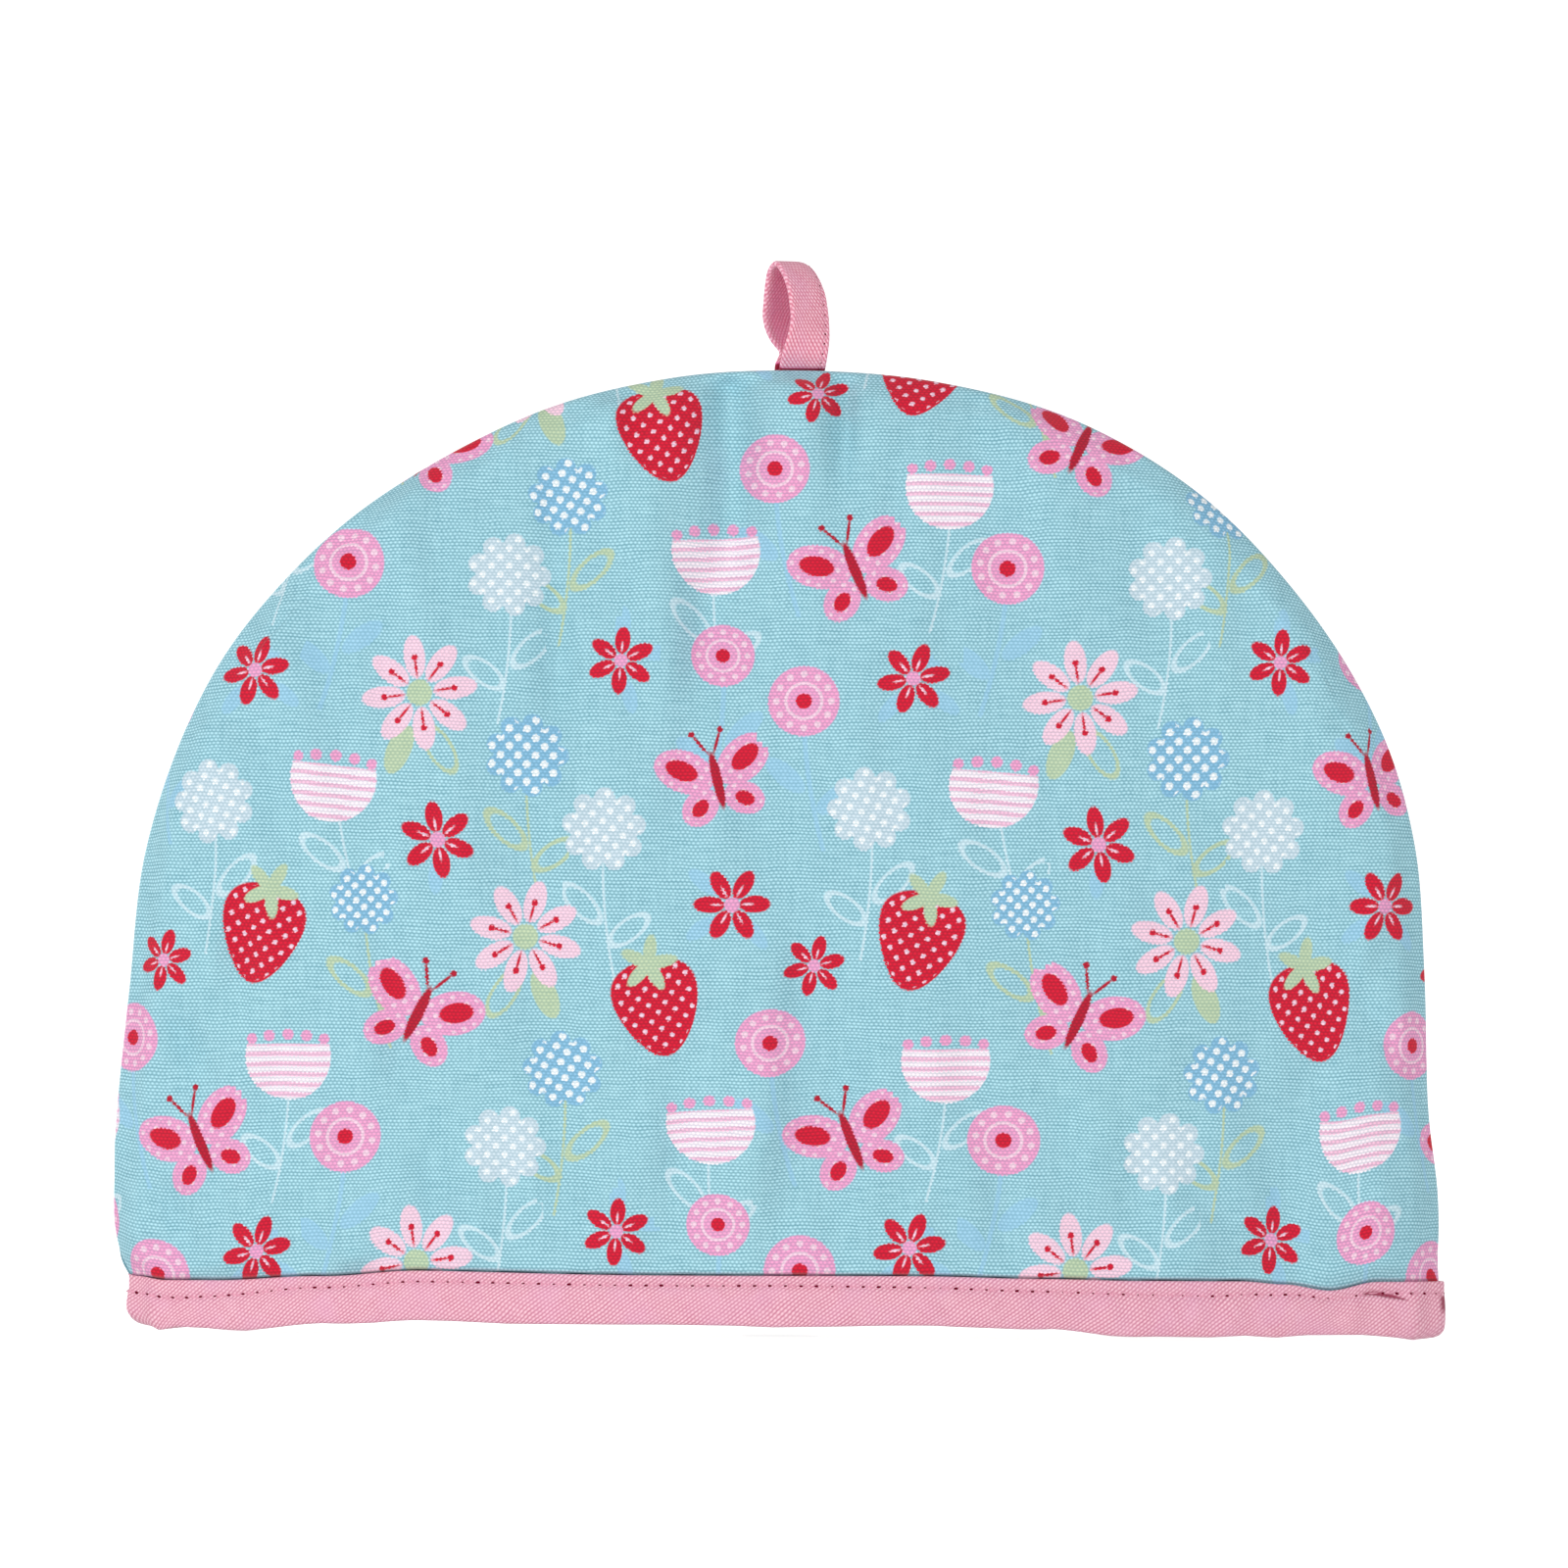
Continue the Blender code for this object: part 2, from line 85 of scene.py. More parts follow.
POCKET_RAMP = 2.0 * MM  # over which the seam closes again round the tape

# The seam round the dome, from the top of the binding on the left. columns: x, z
OUTLINE_MM = [
    (-167.2, 13.7), (-170.2, 19.0), (-171.5, 26.0), (-171.6, 38.0), (-171.2, 54.0),
    (-168.1, 88.0), (-164.1, 124.0), (-152.4, 158.9), (-135.3, 186.2), (-107.4, 213.1),
    (-67.6, 235.8), (-31.8, 245.9), (2.1, 248.4), (38.0, 245.8), (73.9, 236.2),
    (106.9, 216.9), (134.1, 188.6), (152.8, 158.2), (162.2, 127.9), (165.0, 95.0),
    (166.2, 60.0), (168.9, 36.0), (169.3, 13.7),
]

# The hem's arch and the binding's uneven height. columns: x, lift, height of the binding
HEM_MM = [
    (-172.0, 2.4, 13.4), (-165.0, 1.0, 13.2), (-158.0, 0.0, 13.4), (-146.0, 0.0, 13.6),
    (-118.0, 1.8, 13.3), (-92.0, 3.8, 13.1), (-40.0, 3.2, 13.2), (36.0, 3.5, 13.2),
    (68.0, 1.6, 14.5), (92.0, 0.0, 15.7), (118.0, 0.0, 15.6), (129.0, 0.0, 14.8),
    (141.0, 0.0, 13.2), (153.0, 0.0, 15.4), (172.0, 0.0, 15.4),
]
BACK_LIFT = 0.75  # the back hem arches less than the front one
LIFT_FADE = (20.0 * MM, 95.0 * MM)  # heights between which the arch fades into the panel

# Each panel's soft troughs (+) and ridges (-), leaning by degrees from upright.
# columns: x, z, length, width, depth, lean
CREASES_MM = {
    "front": [
        (-20, 185, 150, 13, 1.8, 6), (3, 170, 170, 12, -1.3, 6), (15, 222, 40, 9, 1.2, 0),
        (28, 210, 60, 11, -1.2, 6), (-62, 200, 50, 14, 1.2, -4), (-71, 150, 60, 14, 1.0, 2),
        (103, 182, 90, 14, 1.5, 24), (149, 95, 60, 13, 1.5, -6), (-150, 50, 46, 13, 1.4, 80),
        (-120, 40, 40, 14, -0.6, 0),
    ],
    "back": [
        (33, 180, 140, 15, 2.0, 7), (-49, 190, 110, 16, 1.4, -8), (95, 130, 90, 18, -1.3, 10),
        (-111, 90, 90, 18, 1.4, -12),
    ],
}
CREASE_FULL_BULGE = 9.0 * MM  # creases are shallower where the panel stands off less than this
CREASE_HEM_FADE = (20.0 * MM, 48.0 * MM)  # heights over which they come in above the hem

# Sharper folds that hang in the printed cloth, as troughs (+) and ridges (-).
# columns: top x, top z, low x, low z, width, depth
FOLDS_MM = {
    "front": [
        (-12, 280, -16, 180, 6.2, 3.2), (-15, 222, -30, 112, 6.8, 3.4),
        (4, 280, 5, 205, 6.5, -2.0), (16.5, 280, 13.5, 212, 3.2, 3.4),
        (28, 232, 29, 180, 4.6, 1.9), (-38, 264, -40, 218, 3.6, 1.5),
        (-60, 246, -57, 134, 4.6, 2.0), (35, 215, 36, 106, 9.0, -1.0),
        (-12, 116, -14, 18, 9.0, -0.5), (-108, 124, -106, 34, 8.0, -1.3),
        (92, 126, 95, 54, 8.0, -0.5), (-159, 88, -143, 56, 3.8, 1.8),
        (-160, 42, -148, 15, 4.0, 2.0), (157, 132, 144, 78, 3.4, -1.8),
        (141, 98, 168, 60, 3.8, 1.8),
    ],
    "back": [
        (12, 280, 16, 170, 6.0, 3.2), (-9, 280, -12, 200, 4.2, 2.6),
        (-34, 240, -40, 130, 7.0, 1.6), (66, 236, 60, 140, 6.0, 1.2),
        (104, 110, 98, 36, 8.0, -1.1), (-84, 120, -80, 30, 8.0, -1.0),
        (-158, 92, -140, 60, 4.2, 1.2),
    ],
}
FOLD_DEPTH = 1.5  # times the table's depths
FOLD_ENDS = 0.35  # the share of a fold's length over which each end runs out

# Small relief that sewing and handling leave in the cloth.
FREE_ABOVE, FREE_INSIDE = 5.0 * MM, 4.0 * MM  # how far from the binding and the seam it starts
SWELLS = 16  # soft unevenness of the wadding: this many waves, most of them across the cloth
SWELL_SLOPE = 0.076
SWELL_LENGTH = (13.0 * MM, 62.0 * MM)
SWELL_TURN = 0.3  # how far the waves stray from across, in radians
SWELL_SEEDS = {"front": 11, "back": 12}
CALM_RIGHT, CALM_REACH = 0.5, (-20.0 * MM, 90.0 * MM)  # the right-hand side is filled more evenly
PUCKER_LENGTHS = (9.5 * MM, 14.0 * MM, 23.0 * MM)  # gathers along the seam and the binding
SEAM_PUCKER, SEAM_PUCKER_REACH = 0.55 * MM, 12.0 * MM
HEM_PUCKER, HEM_PUCKER_REACH = 0.22 * MM, 9.0 * MM
EDGE_PUFF, EDGE_PUFF_AT, EDGE_PUFF_REACH = 2.0 * MM, 14.0 * MM, 26.0 * MM  # beside the seam
HEM_PUFF = 0.35 * MM  # the wadding swells out just above the binding
PUFF_RISE, PUFF_FADE = (13.8 * MM, 14.5 * MM), (20.0 * MM, 40.0 * MM)
TUCK = (13.75 * MM, 14.1 * MM)  # where the cloth goes down behind the binding: a line of painted shade there
TUCK_END, TUCK_EASE = (116.0 * MM, 128.0 * MM), 0.8  # to the right of these the painted shade is lighter
TUCK_SHADES = (0.8, 0.25)  # the painted shade's mean and how far it wavers with the gathers

# The cloth is simulated with its edges held, as it swells over the wadding and gathers. The
# wadding keeps its broad shape, so only the gathers stay in it.
CLOTH_SKIP = 2  # every second point of the patch
CLOTH_SCALE = 10.0  # the solver is steadier on a large cloth
CLOTH_FRAMES = 20
CLOTH_FULLNESS = 0.006  # how much larger it is cut than the shape that it covers
CLOTH_PRESSURE = 0.3  # of the wadding
GATHER_PASSES = 120  # the smoothing that tells the broad shape from the gathers
GATHER_LIMIT = 2.0 * MM  # no point moves further

# How fine the panels are.
CURVE_STEPS = 24  # to each stretch of the outline
PANEL_COLUMNS, PANEL_ROWS = 220, 150
GROOVE_STEPS, ROLL_STEPS = 4, 12
BULGE_LEAD = 0.15  # the rolled edge's share by which the bulge would start outside the seam
SHOULDERS = (0.27, 0.74)  # the outline's shares at the patch's top corners
HEM_ROWS = np.array([
    4.2, 8.5, 13.0, 13.8, 13.95, 14.15, 14.35, 14.6, 15.0, 15.8, 16.7, 17.8, 19.0, 20.5, 22.3,
    24.0, 26.0,
]) * MM
UPRIGHT_END = 60.0 * MM  # below this the patch's rows draw level with the hem


def mix(first, second, share):
    """Part of the way from first to second."""
    return first + (second - first) * share


def smooth(value, low, high):
    """0 below low, 1 above high, with an S-shaped rise between them."""
    share = np.clip((value - low) / (high - low), 0.0, 1.0)
    return share * share * (3.0 - 2.0 * share)


def smooth_curve(table_mm, steps):
    """A polyline on a smooth curve through a table's points, with steps to each stretch."""
    knots = np.array(table_mm) * MM
    ends = np.vstack([2 * knots[:1] - knots[1:2], knots, 2 * knots[-1:] - knots[-2:-1]])
    share = np.arange(steps)[:, None] / steps
    curve = []
    for before, start, stop, after in zip(ends, ends[1:], ends[2:], ends[3:]):
        out_handle = start + (stop - before) / 6
        in_handle = stop - (after - start) / 6
        curve.append((1 - share) ** 3 * start + 3 * share * (1 - share) ** 2 * out_handle)
        curve[-1] += 3 * share**2 * (1 - share) * in_handle + share**3 * stop
    return np.vstack(curve + [knots[-1:]])


def run_length(points):
    """The distance along a polyline at each point; points run along the last axis but one."""
    steps = np.linalg.norm(np.diff(points, axis=-2), axis=-1)
    return np.concatenate([np.zeros_like(steps[..., :1]), np.cumsum(steps, axis=-1)], axis=-1)


def tangents(points):
    """The direction of a polyline at each of its points."""
    along = np.gradient(points, axis=0)
    return along / np.linalg.norm(along, axis=1, keepdims=True)


OUTLINE = smooth_curve(OUTLINE_MM, CURVE_STEPS)
ALONG = tangents(OUTLINE)
INWARD = np.stack([ALONG[:, 1], -ALONG[:, 0]], axis=1)
DISTANCE = run_length(OUTLINE)
SHARES = DISTANCE / DISTANCE[-1]


class Dome:
    """The outline moved inwards by an inset, read by height."""

    def __init__(self, inset):
        points = OUTLINE + INWARD * inset
        crest = int(np.argmax(points[:, 1]))
        self.top = points[crest, 1]
        self.left_side, self.right_side = points[: crest + 1], points[crest:][::-1]

    def sides(self, z):
        """The left and right x at a height. Below the outline's ends the sides are upright."""
        return [np.interp(z, s[:, 1], s[:, 0]) for s in (self.left_side, self.right_side)]


OUTER = Dome(0.0)
INNER = Dome(SEAM_WIDTH)


def bulge(x, z, dome):
    """How far a panel stands off the seam plane, before its wall and its creases."""
    left, right = dome.sides(z)
    across = (2 * x - left - right) / np.maximum(right - left, MM)
    depth = HEM_DEPTH * (1 - (np.clip(z, 0.0, dome.top) / dome.top) ** DEPTH_POWER)
    return depth * np.maximum(0.0, 1 - across * across) * (z < dome.top)


def crease(x, z, side):
    """The panel's troughs and ridges at a point, + inwards."""
    total = 0.0
    for middle_x, middle_z, length, width, depth, lean in CREASES_MM[side]:
        turn = math.radians(lean)
        over, up = x / MM - middle_x, z / MM - middle_z
        along = over * math.sin(turn) + up * math.cos(turn)
        off = over * math.cos(turn) - up * math.sin(turn)
        total = total + depth * MM * np.exp(-((off / width) ** 2) - (2 * along / length) ** 2)
    stand_off = bulge(x, z, INNER)
    return total * smooth(stand_off, 0.0, CREASE_FULL_BULGE) * smooth(z, *CREASE_HEM_FADE)


def hem_row_values(x, side):
    """The hem's lift and the binding's height at x."""
    table = np.array(HEM_MM) * MM
    place = np.clip(np.searchsorted(table[:, 0], x, side="right"), 1, len(table) - 1)
    share = smooth(x, table[place - 1, 0], table[place, 0])
    lift = mix(table[place - 1, 1], table[place, 1], share)
    height = mix(table[place - 1, 2], table[place, 2], share)
    return lift * (BACK_LIFT if side == "back" else 1.0), height


def hem_shift(x, z, side):
    """How far the hem's arch and the binding's uneven height raise a point."""
    lift, height = hem_row_values(x, side)
    stretch = (height - BINDING_HEIGHT) * np.clip(z / BINDING_HEIGHT, 0.0, 1.0)
    return (lift + stretch) * (1 - smooth(z, *LIFT_FADE))


def wall(z):
    """The padded wall's thickness at a height."""
    swell = np.clip((z - HEM_TOP) / SWELL_HEIGHT, 0.0, 1.0)
    return mix(HEM_WALL, WALL, np.sin(swell * math.pi / 2))


def seam_plane(x, z):
    """Half the gap between the panels: wider where they hold the ends of the loop's tape."""
    beside = np.maximum(0.0, abs(x - LOOP_X) - TAPE_WIDTH / 2 - PIECE_GAP)
    below = np.maximum(0.0, OUTER.top - z - TAPE_DEPTH - PIECE_GAP)
    closing = np.minimum(1.0, (beside + below) / POCKET_RAMP)
    return mix(TAPE_STAND + TAPE_CLOTH / 2 + PIECE_GAP, PIECE_GAP / 2, closing)


def waves(along, side, lengths):
    """A gathered edge's uneven waves, about -1 to 1, at a distance along it."""
    phase = 0.0 if side == "front" else 2.0
    total = 0.0
    for order, length in enumerate(lengths):
        drift = 1.7 * np.sin(along / (4.3 * length) + order)
        total = total + np.sin(2 * math.pi * along / length + drift + phase * (order + 1))
    return total / len(lengths) ** 0.5


def swells(x, z, side):
    """The wadding's soft unevenness at a point."""
    chance = np.random.default_rng(SWELL_SEEDS[side])
    total = 0.0
    for length in np.geomspace(*SWELL_LENGTH, SWELLS):
        turn, phase, fade, reach = chance.normal(0, SWELL_TURN), *chance.uniform(0, 2 * math.pi, 3)
        along = x * math.cos(turn) + z * math.sin(turn)
        strength = 1 + 0.7 * np.sin(z / (3.2 * length) + fade)
        strength += 0.4 * np.sin(x / (2.6 * length) + reach)
        total = total + length * strength * np.sin(2 * math.pi * along / length + phase)
    return SWELL_SLOPE / (2 * math.pi) * total


def folds(x, z, side):
    """The folds that hang in the cloth at a point, + inwards."""
    total = 0.0
    for top_x, top_z, low_x, low_z, width, depth in FOLDS_MM[side]:
        length = math.hypot(top_x - low_x, top_z - low_z)
        axis_x, axis_z = (top_x - low_x) / length, (top_z - low_z) / length
        over, up = x / MM - low_x, z / MM - low_z
        along, off = over * axis_x + up * axis_z, over * axis_z - up * axis_x
        end = FOLD_ENDS * length
        ends = smooth(along, 0.0, end) * smooth(length - along, 0.0, end)
        total = total + depth * MM * ends * np.exp(-((off / width) ** 2))
    return FOLD_DEPTH * total


def roll_profiles():
    """The rolled edge in section, from the seam line in to the flat of the wall.

    Returns the edge with its groove and the edge as the binding presses it shut, each as rows of
    (inset, share of the wall's thickness), and the share of the bulge that each row takes.
    """
    lip = GROOVE_LIP / WALL
    fold = np.linspace(math.pi / 2, 0.0, GROOVE_STEPS, endpoint=False)
    roll = np.linspace(0.0, math.pi / 2, ROLL_STEPS + 1)
    inset = np.concatenate([SEAM_GROOVE * (1 - np.cos(fold)), SEAM_WIDTH * (1 - np.cos(roll))])
    share = np.concatenate([lip * (1 - np.sin(fold)), mix(lip, 1.0, np.sin(roll))])
    shut = np.linspace(0.0, math.pi / 2, len(inset))
    pressed = np.stack([SEAM_WIDTH * (1 - np.cos(shut)), np.sin(shut)], axis=1)
    rise = inset / SEAM_WIDTH
    rise[:GROOVE_STEPS] = 0.0
    bulging = smooth(rise, -BULGE_LEAD, 1.0) - smooth(0, -BULGE_LEAD, 1.0)
    return np.stack([inset, share], axis=1), pressed, bulging / bulging[-1]


GROOVED, PRESSED, BULGE_SHARE = roll_profiles()
ROLL = len(GROOVED)
# A place on a panel is a row of these: where its outer and inner skins are in the outline's
# plane, and the shares of the wall's thickness and of the bulge that the outer skin takes.
OUTER_X, OUTER_Z, INNER_X, INNER_Z, WALL_SHARE, BULGE = range(6)


def rolled_edge(points, inward):
    """The places from the seam line in to the flat of the wall, at points of the outline."""
    opening = smooth(points[:, 1], HEM_TOP, HEM_TOP + GROOVE_RISE)[:, None, None]
    section = mix(PRESSED, GROOVED, opening)
    inner_inset = mix(SEAM_GROOVE * opening[..., 0], SEAM_WIDTH, np.linspace(0, 1, ROLL))
    places = np.empty((len(points), ROLL, 6))
    places[..., :2] = points[:, None] + inward[:, None] * section[..., :1]
    places[..., 2:4] = points[:, None] + inward[:, None] * inner_inset[..., None]
    places[..., WALL_SHARE] = section[..., 1]
    places[..., BULGE] = BULGE_SHARE
    return places


def hem_row(z, columns):
    """The places straight across a panel at a height in the hem zone, from seam to seam."""
    left, right = OUTER.sides(z)
    ends = rolled_edge(np.array([(left, z), (right, z)]), np.array([(1.0, 0.0), (-1.0, 0.0)]))
    middle = np.ones((columns - 1, 6))
    share = np.linspace(0, 1, columns + 1)[1:-1]
    middle[:, [OUTER_X, INNER_X]] = mix(left + SEAM_WIDTH, right - SEAM_WIDTH, share)[:, None]
    middle[:, [OUTER_Z, INNER_Z]] = z
    return np.concatenate([ends[0], middle, ends[1, ::-1]])


def station(shares):
    """Points of the outline and the direction into the panel there, level near the hem."""
    points = np.stack([np.interp(shares, SHARES, OUTLINE[:, i]) for i in range(2)], axis=1)
    inward = np.stack([np.interp(shares, SHARES, INWARD[:, i]) for i in range(2)], axis=1)
    level = np.stack([np.where(shares > 0.5, -1.0, 1.0), np.zeros(len(shares))], axis=1)
    inward = mix(level, inward, smooth(points[:, 1:], HEM_ROWS[-1], UPRIGHT_END))
    return points, inward / np.linalg.norm(inward, axis=1, keepdims=True)


def panel_grids():
    """The panel as three grids of places: its hem, its rolled border and the patch in between."""
    low, high = SHOULDERS
    crest = int(np.argmax(OUTLINE[:, 1]))
    first = np.interp(HEM_ROWS[-1], OUTLINE[:crest, 1], SHARES[:crest])
    last = np.interp(HEM_ROWS[-1], OUTLINE[:crest:-1, 1], SHARES[:crest:-1])
    rise, across = np.linspace(0, 1, PANEL_ROWS + 1), np.linspace(0, 1, PANEL_COLUMNS + 1)
    left = rolled_edge(*station(mix(first, low, rise)))
    top = rolled_edge(*station(mix(low, high, across)))
    right = rolled_edge(*station(mix(last, high, rise)))
    border = np.concatenate([left, top[1:-1], right[::-1]])
    hem = np.stack([hem_row(z, PANEL_COLUMNS) for z in HEM_ROWS])
    bottom = hem[-1, ROLL - 1 : 1 - ROLL]
    across, rise = across[None, :, None], rise[:, None, None]
    sides = mix(left[:, None, -1], right[:, None, -1], across)
    ends = mix(bottom[None], top[None, :, -1], rise)
    low_corners = mix(bottom[0], bottom[-1], across)
    high_corners = mix(top[0, -1], top[-1, -1], across)
    patch = sides + ends - mix(low_corners, high_corners, rise)
    patch[..., 2:4], patch[..., 4:] = patch[..., :2], 1.0
    return [hem, border, patch]


def reach_outline(x, z):
    """How far points are inside the outline, and how far along it their nearest points are."""
    inset, along = np.empty_like(x), np.empty_like(x)
    for row in range(len(x)):
        away = np.stack([x[row], z[row]], axis=1)[:, None] - OUTLINE[None]
        nearest = np.argmin((away**2).sum(axis=2), axis=1)
        away = away[np.arange(len(nearest)), nearest]
        inset[row] = (away * INWARD[nearest]).sum(axis=1)
        along[row] = DISTANCE[nearest] + (away * ALONG[nearest]).sum(axis=1)
    return inset, along


def skins(places, side):
    """The points in space of a grid of places, on the outer and on the inner skin."""
    facing = -1.0 if side == "front" else 1.0
    x, z = places[..., OUTER_X], places[..., OUTER_Z]
    plane = seam_plane(x, z)
    y = plane + bulge(x, z, OUTER) * places[..., BULGE] - crease(x, z, side)
    y += (wall(z) + PIECE_GAP / 2 - plane) * places[..., WALL_SHARE]
    inset, along = reach_outline(x, z)
    above = np.maximum(0.0, z - HEM_TOP)
    free = smooth(above, 0.0, FREE_ABOVE) * places[..., WALL_SHARE]
    seam_gathers = waves(along, side, PUCKER_LENGTHS) * np.exp(-inset / SEAM_PUCKER_REACH)
    hem_gathers = waves(x, side, PUCKER_LENGTHS[1:]) * np.exp(-above / HEM_PUCKER_REACH)
    free = free * smooth(inset, 0.0, FREE_INSIDE)
    y += free * (SEAM_PUCKER * seam_gathers + HEM_PUCKER * hem_gathers)
    beyond = np.maximum(0.0, inset - EDGE_PUFF_AT) / EDGE_PUFF_REACH
    puff = np.sin(np.clip(inset / EDGE_PUFF_AT, 0, 1) * math.pi / 2)
    y += free * EDGE_PUFF * puff * np.exp(-beyond)
    calm = 1 - CALM_RIGHT * smooth(x, *CALM_REACH)
    y += free * calm * (swells(x, z, side) - folds(x, z, side))
    y += HEM_PUFF * smooth(z, *PUFF_RISE) * (1 - smooth(z, *PUFF_FADE)) * places[..., WALL_SHARE]
    outer = np.stack([x, facing * y, z + hem_shift(x, z, side)], axis=-1)
    x, z = places[..., INNER_X], places[..., INNER_Z]
    y = seam_plane(x, z) + bulge(x, z, INNER) - crease(x, z, side)
    return outer, np.stack([x, facing * y, z + hem_shift(x, z, side)], axis=-1)


SHEET_HALF, SHEET_ROWS = 180, 260  # mm from the middle to each side, and up


def cloth_sheet():
    """The outer cloth measured out flat: the distance across and up it, for every mm."""
    x, z = np.meshgrid(np.arange(-SHEET_HALF, SHEET_HALF + 1) * MM, np.arange(SHEET_ROWS) * MM)
    y = bulge(x, z, OUTER)
    across = np.cumsum(np.hypot(MM, np.diff(y, axis=1, prepend=y[:, :1])), axis=1)
    up = np.cumsum(np.hypot(MM, np.diff(y, axis=0, prepend=y[:1])), axis=0)
    return np.stack([across - across[:, SHEET_HALF, None], up], axis=-1)


CLOTH_SHEET = cloth_sheet()


def flat_place(places):
    """Where grid places are on the flat cloth: across and up, in metres."""
    column = (places[..., OUTER_X] + SHEET_HALF * MM) / MM
    column = np.clip(column, 0, 2 * SHEET_HALF - 0.01)
    row = np.clip(places[..., OUTER_Z] / MM, 0, SHEET_ROWS - 1.01)
    i, j = row.astype(int), column.astype(int)
    over, up = (column - j)[..., None], (row - i)[..., None]
    low = mix(CLOTH_SHEET[i, j], CLOTH_SHEET[i, j + 1], over)
    return mix(low, mix(CLOTH_SHEET[i + 1, j], CLOTH_SHEET[i + 1, j + 1], over), up)


def roll_out(flat, outer):
    """Lays the rolled edge flat: rows run from the seam line in to the flat of the wall."""
    back = run_length(outer[:, ::-1])[:, ::-1, None]
    outward = flat[:, :1] - flat[:, -1:]
    return flat[:, -1:] + outward / np.linalg.norm(outward, axis=-1, keepdims=True) * back


def cloth_places(grids, outers):
    """Each grid's places on the flat cloth, with the rolled edges laid out at their length."""
    hem, border, patch = [flat_place(places) for places in grids]
    hem[:, :ROLL] = roll_out(hem[:, :ROLL], outers[0][:, :ROLL])
    hem[:, -ROLL:] = roll_out(hem[:, :-ROLL - 1:-1], outers[0][:, :-ROLL - 1:-1])[:, ::-1]
    return [hem, roll_out(border, outers[1]), patch]


# The print: an all-over pattern of small motifs on stems, repeated like any roll-printed cloth.
# columns: across, up, turn in degrees, size
PRINT_REPEAT = np.array([170.0, 150.0])  # mm
MOTIF_REACH = 13.0
MOTIFS = {
    "blossom": [
        (33, 22, 10, 0.98), (81, 129, 40, 1.04), (128, 26, 25, 0.92), (157, 113, 0, 1.02),
        (8, 97, 15, 0.84),
    ],
    "butterfly": [(18, 50, 22, 1.06), (76, 83, -24, 1.08), (153, 145, 14, 1.0)],
    "button": [(5, 16, 0, 1.02), (57, 51, 20, 1.05), (167, 77, 10, 1.0), (154, 28, 30, 0.9)],
    "cup": [(42, 73, 0, 1.16), (54, 145, -6, 1.16), (152, 56, 5, 1.16)],
    "daisy": [(76, 17, 8, 1.12), (104, 104, 30, 1.1)],
    "blue_puff": [(104, 1, 0, 1.18), (114, 69, 15, 1.12), (62, 113, 5, 0.98)],
    "white_puff": [(99, 48, 0, 1.18), (124, 132, 9, 1.18), (22, 138, 20, 1.18)],
    "strawberry": [(35, 105, -14, 1.14), (138, 87, 12, 1.14)],
}
# What lies under the motifs. columns: across, up, turn in degrees, size (- mirrors it)
GREENERY_REACH, GREENERY_DROP = (10.0, 22.0), 20.0
GREENERY = {
    "blue_tuft": [
        (33, 22, 20, 1.0), (81, 129, -60, -1.0), (128, 26, 70, 1.0), (157, 113, -20, -1.0),
    ],
    "blue_stem": [(5, 16, 0, 1.0), (57, 51, -3, -1.0), (167, 77, 2, 1.0), (154, 28, 2, -1.0)],
    "white_stem": [
        (42, 73, 0, -1.0), (54, 145, 5, 1.0), (152, 56, -4, 1.0), (99, 48, 3, -1.0),
        (124, 132, -3, 1.0), (22, 138, 4, -1.0),
    ],
    "green_stem": [(62, 113, 3, 1.0), (104, 1, -2, 1.0), (114, 69, 4, -1.0)],
    "green_leaves": [(76, 17, 0, 1.0), (104, 104, 0, -1.0)],
}
PRINT_SHIFTS = {"front": (0.0, 0.0), "back": (70.0, 40.0)}  # mm


def lay_print(corners, table, reach, drop):
    """Sorts faces to their nearest motifs. corners: faces x corners x 2, in mm on the cloth.

    Returns each face's motif, as a number from 1, and each corner's place in that motif's own
    axes. drop is how far a motif's middle hangs below its table's point.
    """
    across, up, turns, sizes = np.array([row for rows in table.values() for row in rows]).T
    numbers = np.array([number for number, rows in enumerate(table.values(), 1) for row in rows])
    away = corners.mean(axis=1)[:, None] - np.stack([across, up - drop], axis=1)
    away -= PRINT_REPEAT * np.round(away / PRINT_REPEAT)
    nearest = np.argmin(((away / reach) ** 2).sum(axis=2), axis=1)
    away = away[np.arange(len(nearest)), nearest] - (0.0, drop)
    local = corners - (corners.mean(axis=1) - away)[:, None]
    turn, size = np.radians(turns)[nearest][:, None], sizes[nearest][:, None]
    across = local[..., 0] * np.cos(turn) + local[..., 1] * np.sin(turn)
    up = local[..., 1] * np.cos(turn) - local[..., 0] * np.sin(turn)
    return numbers[nearest], np.stack([across / size, up / abs(size)], axis=-1)


def grid_faces(rows, columns, first):
    """The quads of a grid of points numbered row by row from first."""
    low = first + (np.arange(rows - 1)[:, None] * columns + np.arange(columns - 1)).ravel()
    return np.stack([low, low + 1, low + columns + 1, low + columns], axis=1)


def add_object(name, data):
    """A new object in the scene."""
    thing = bpy.data.objects.new(name, data)
    bpy.context.scene.collection.objects.link(thing)
    return thing


def store(thing, name, values, domain="POINT"):
    """Stores a value for each point, or face, of an object's mesh."""
    attribute = thing.data.attributes.new(name, "FLOAT", domain)
    attribute.data.foreach_set("value", values)


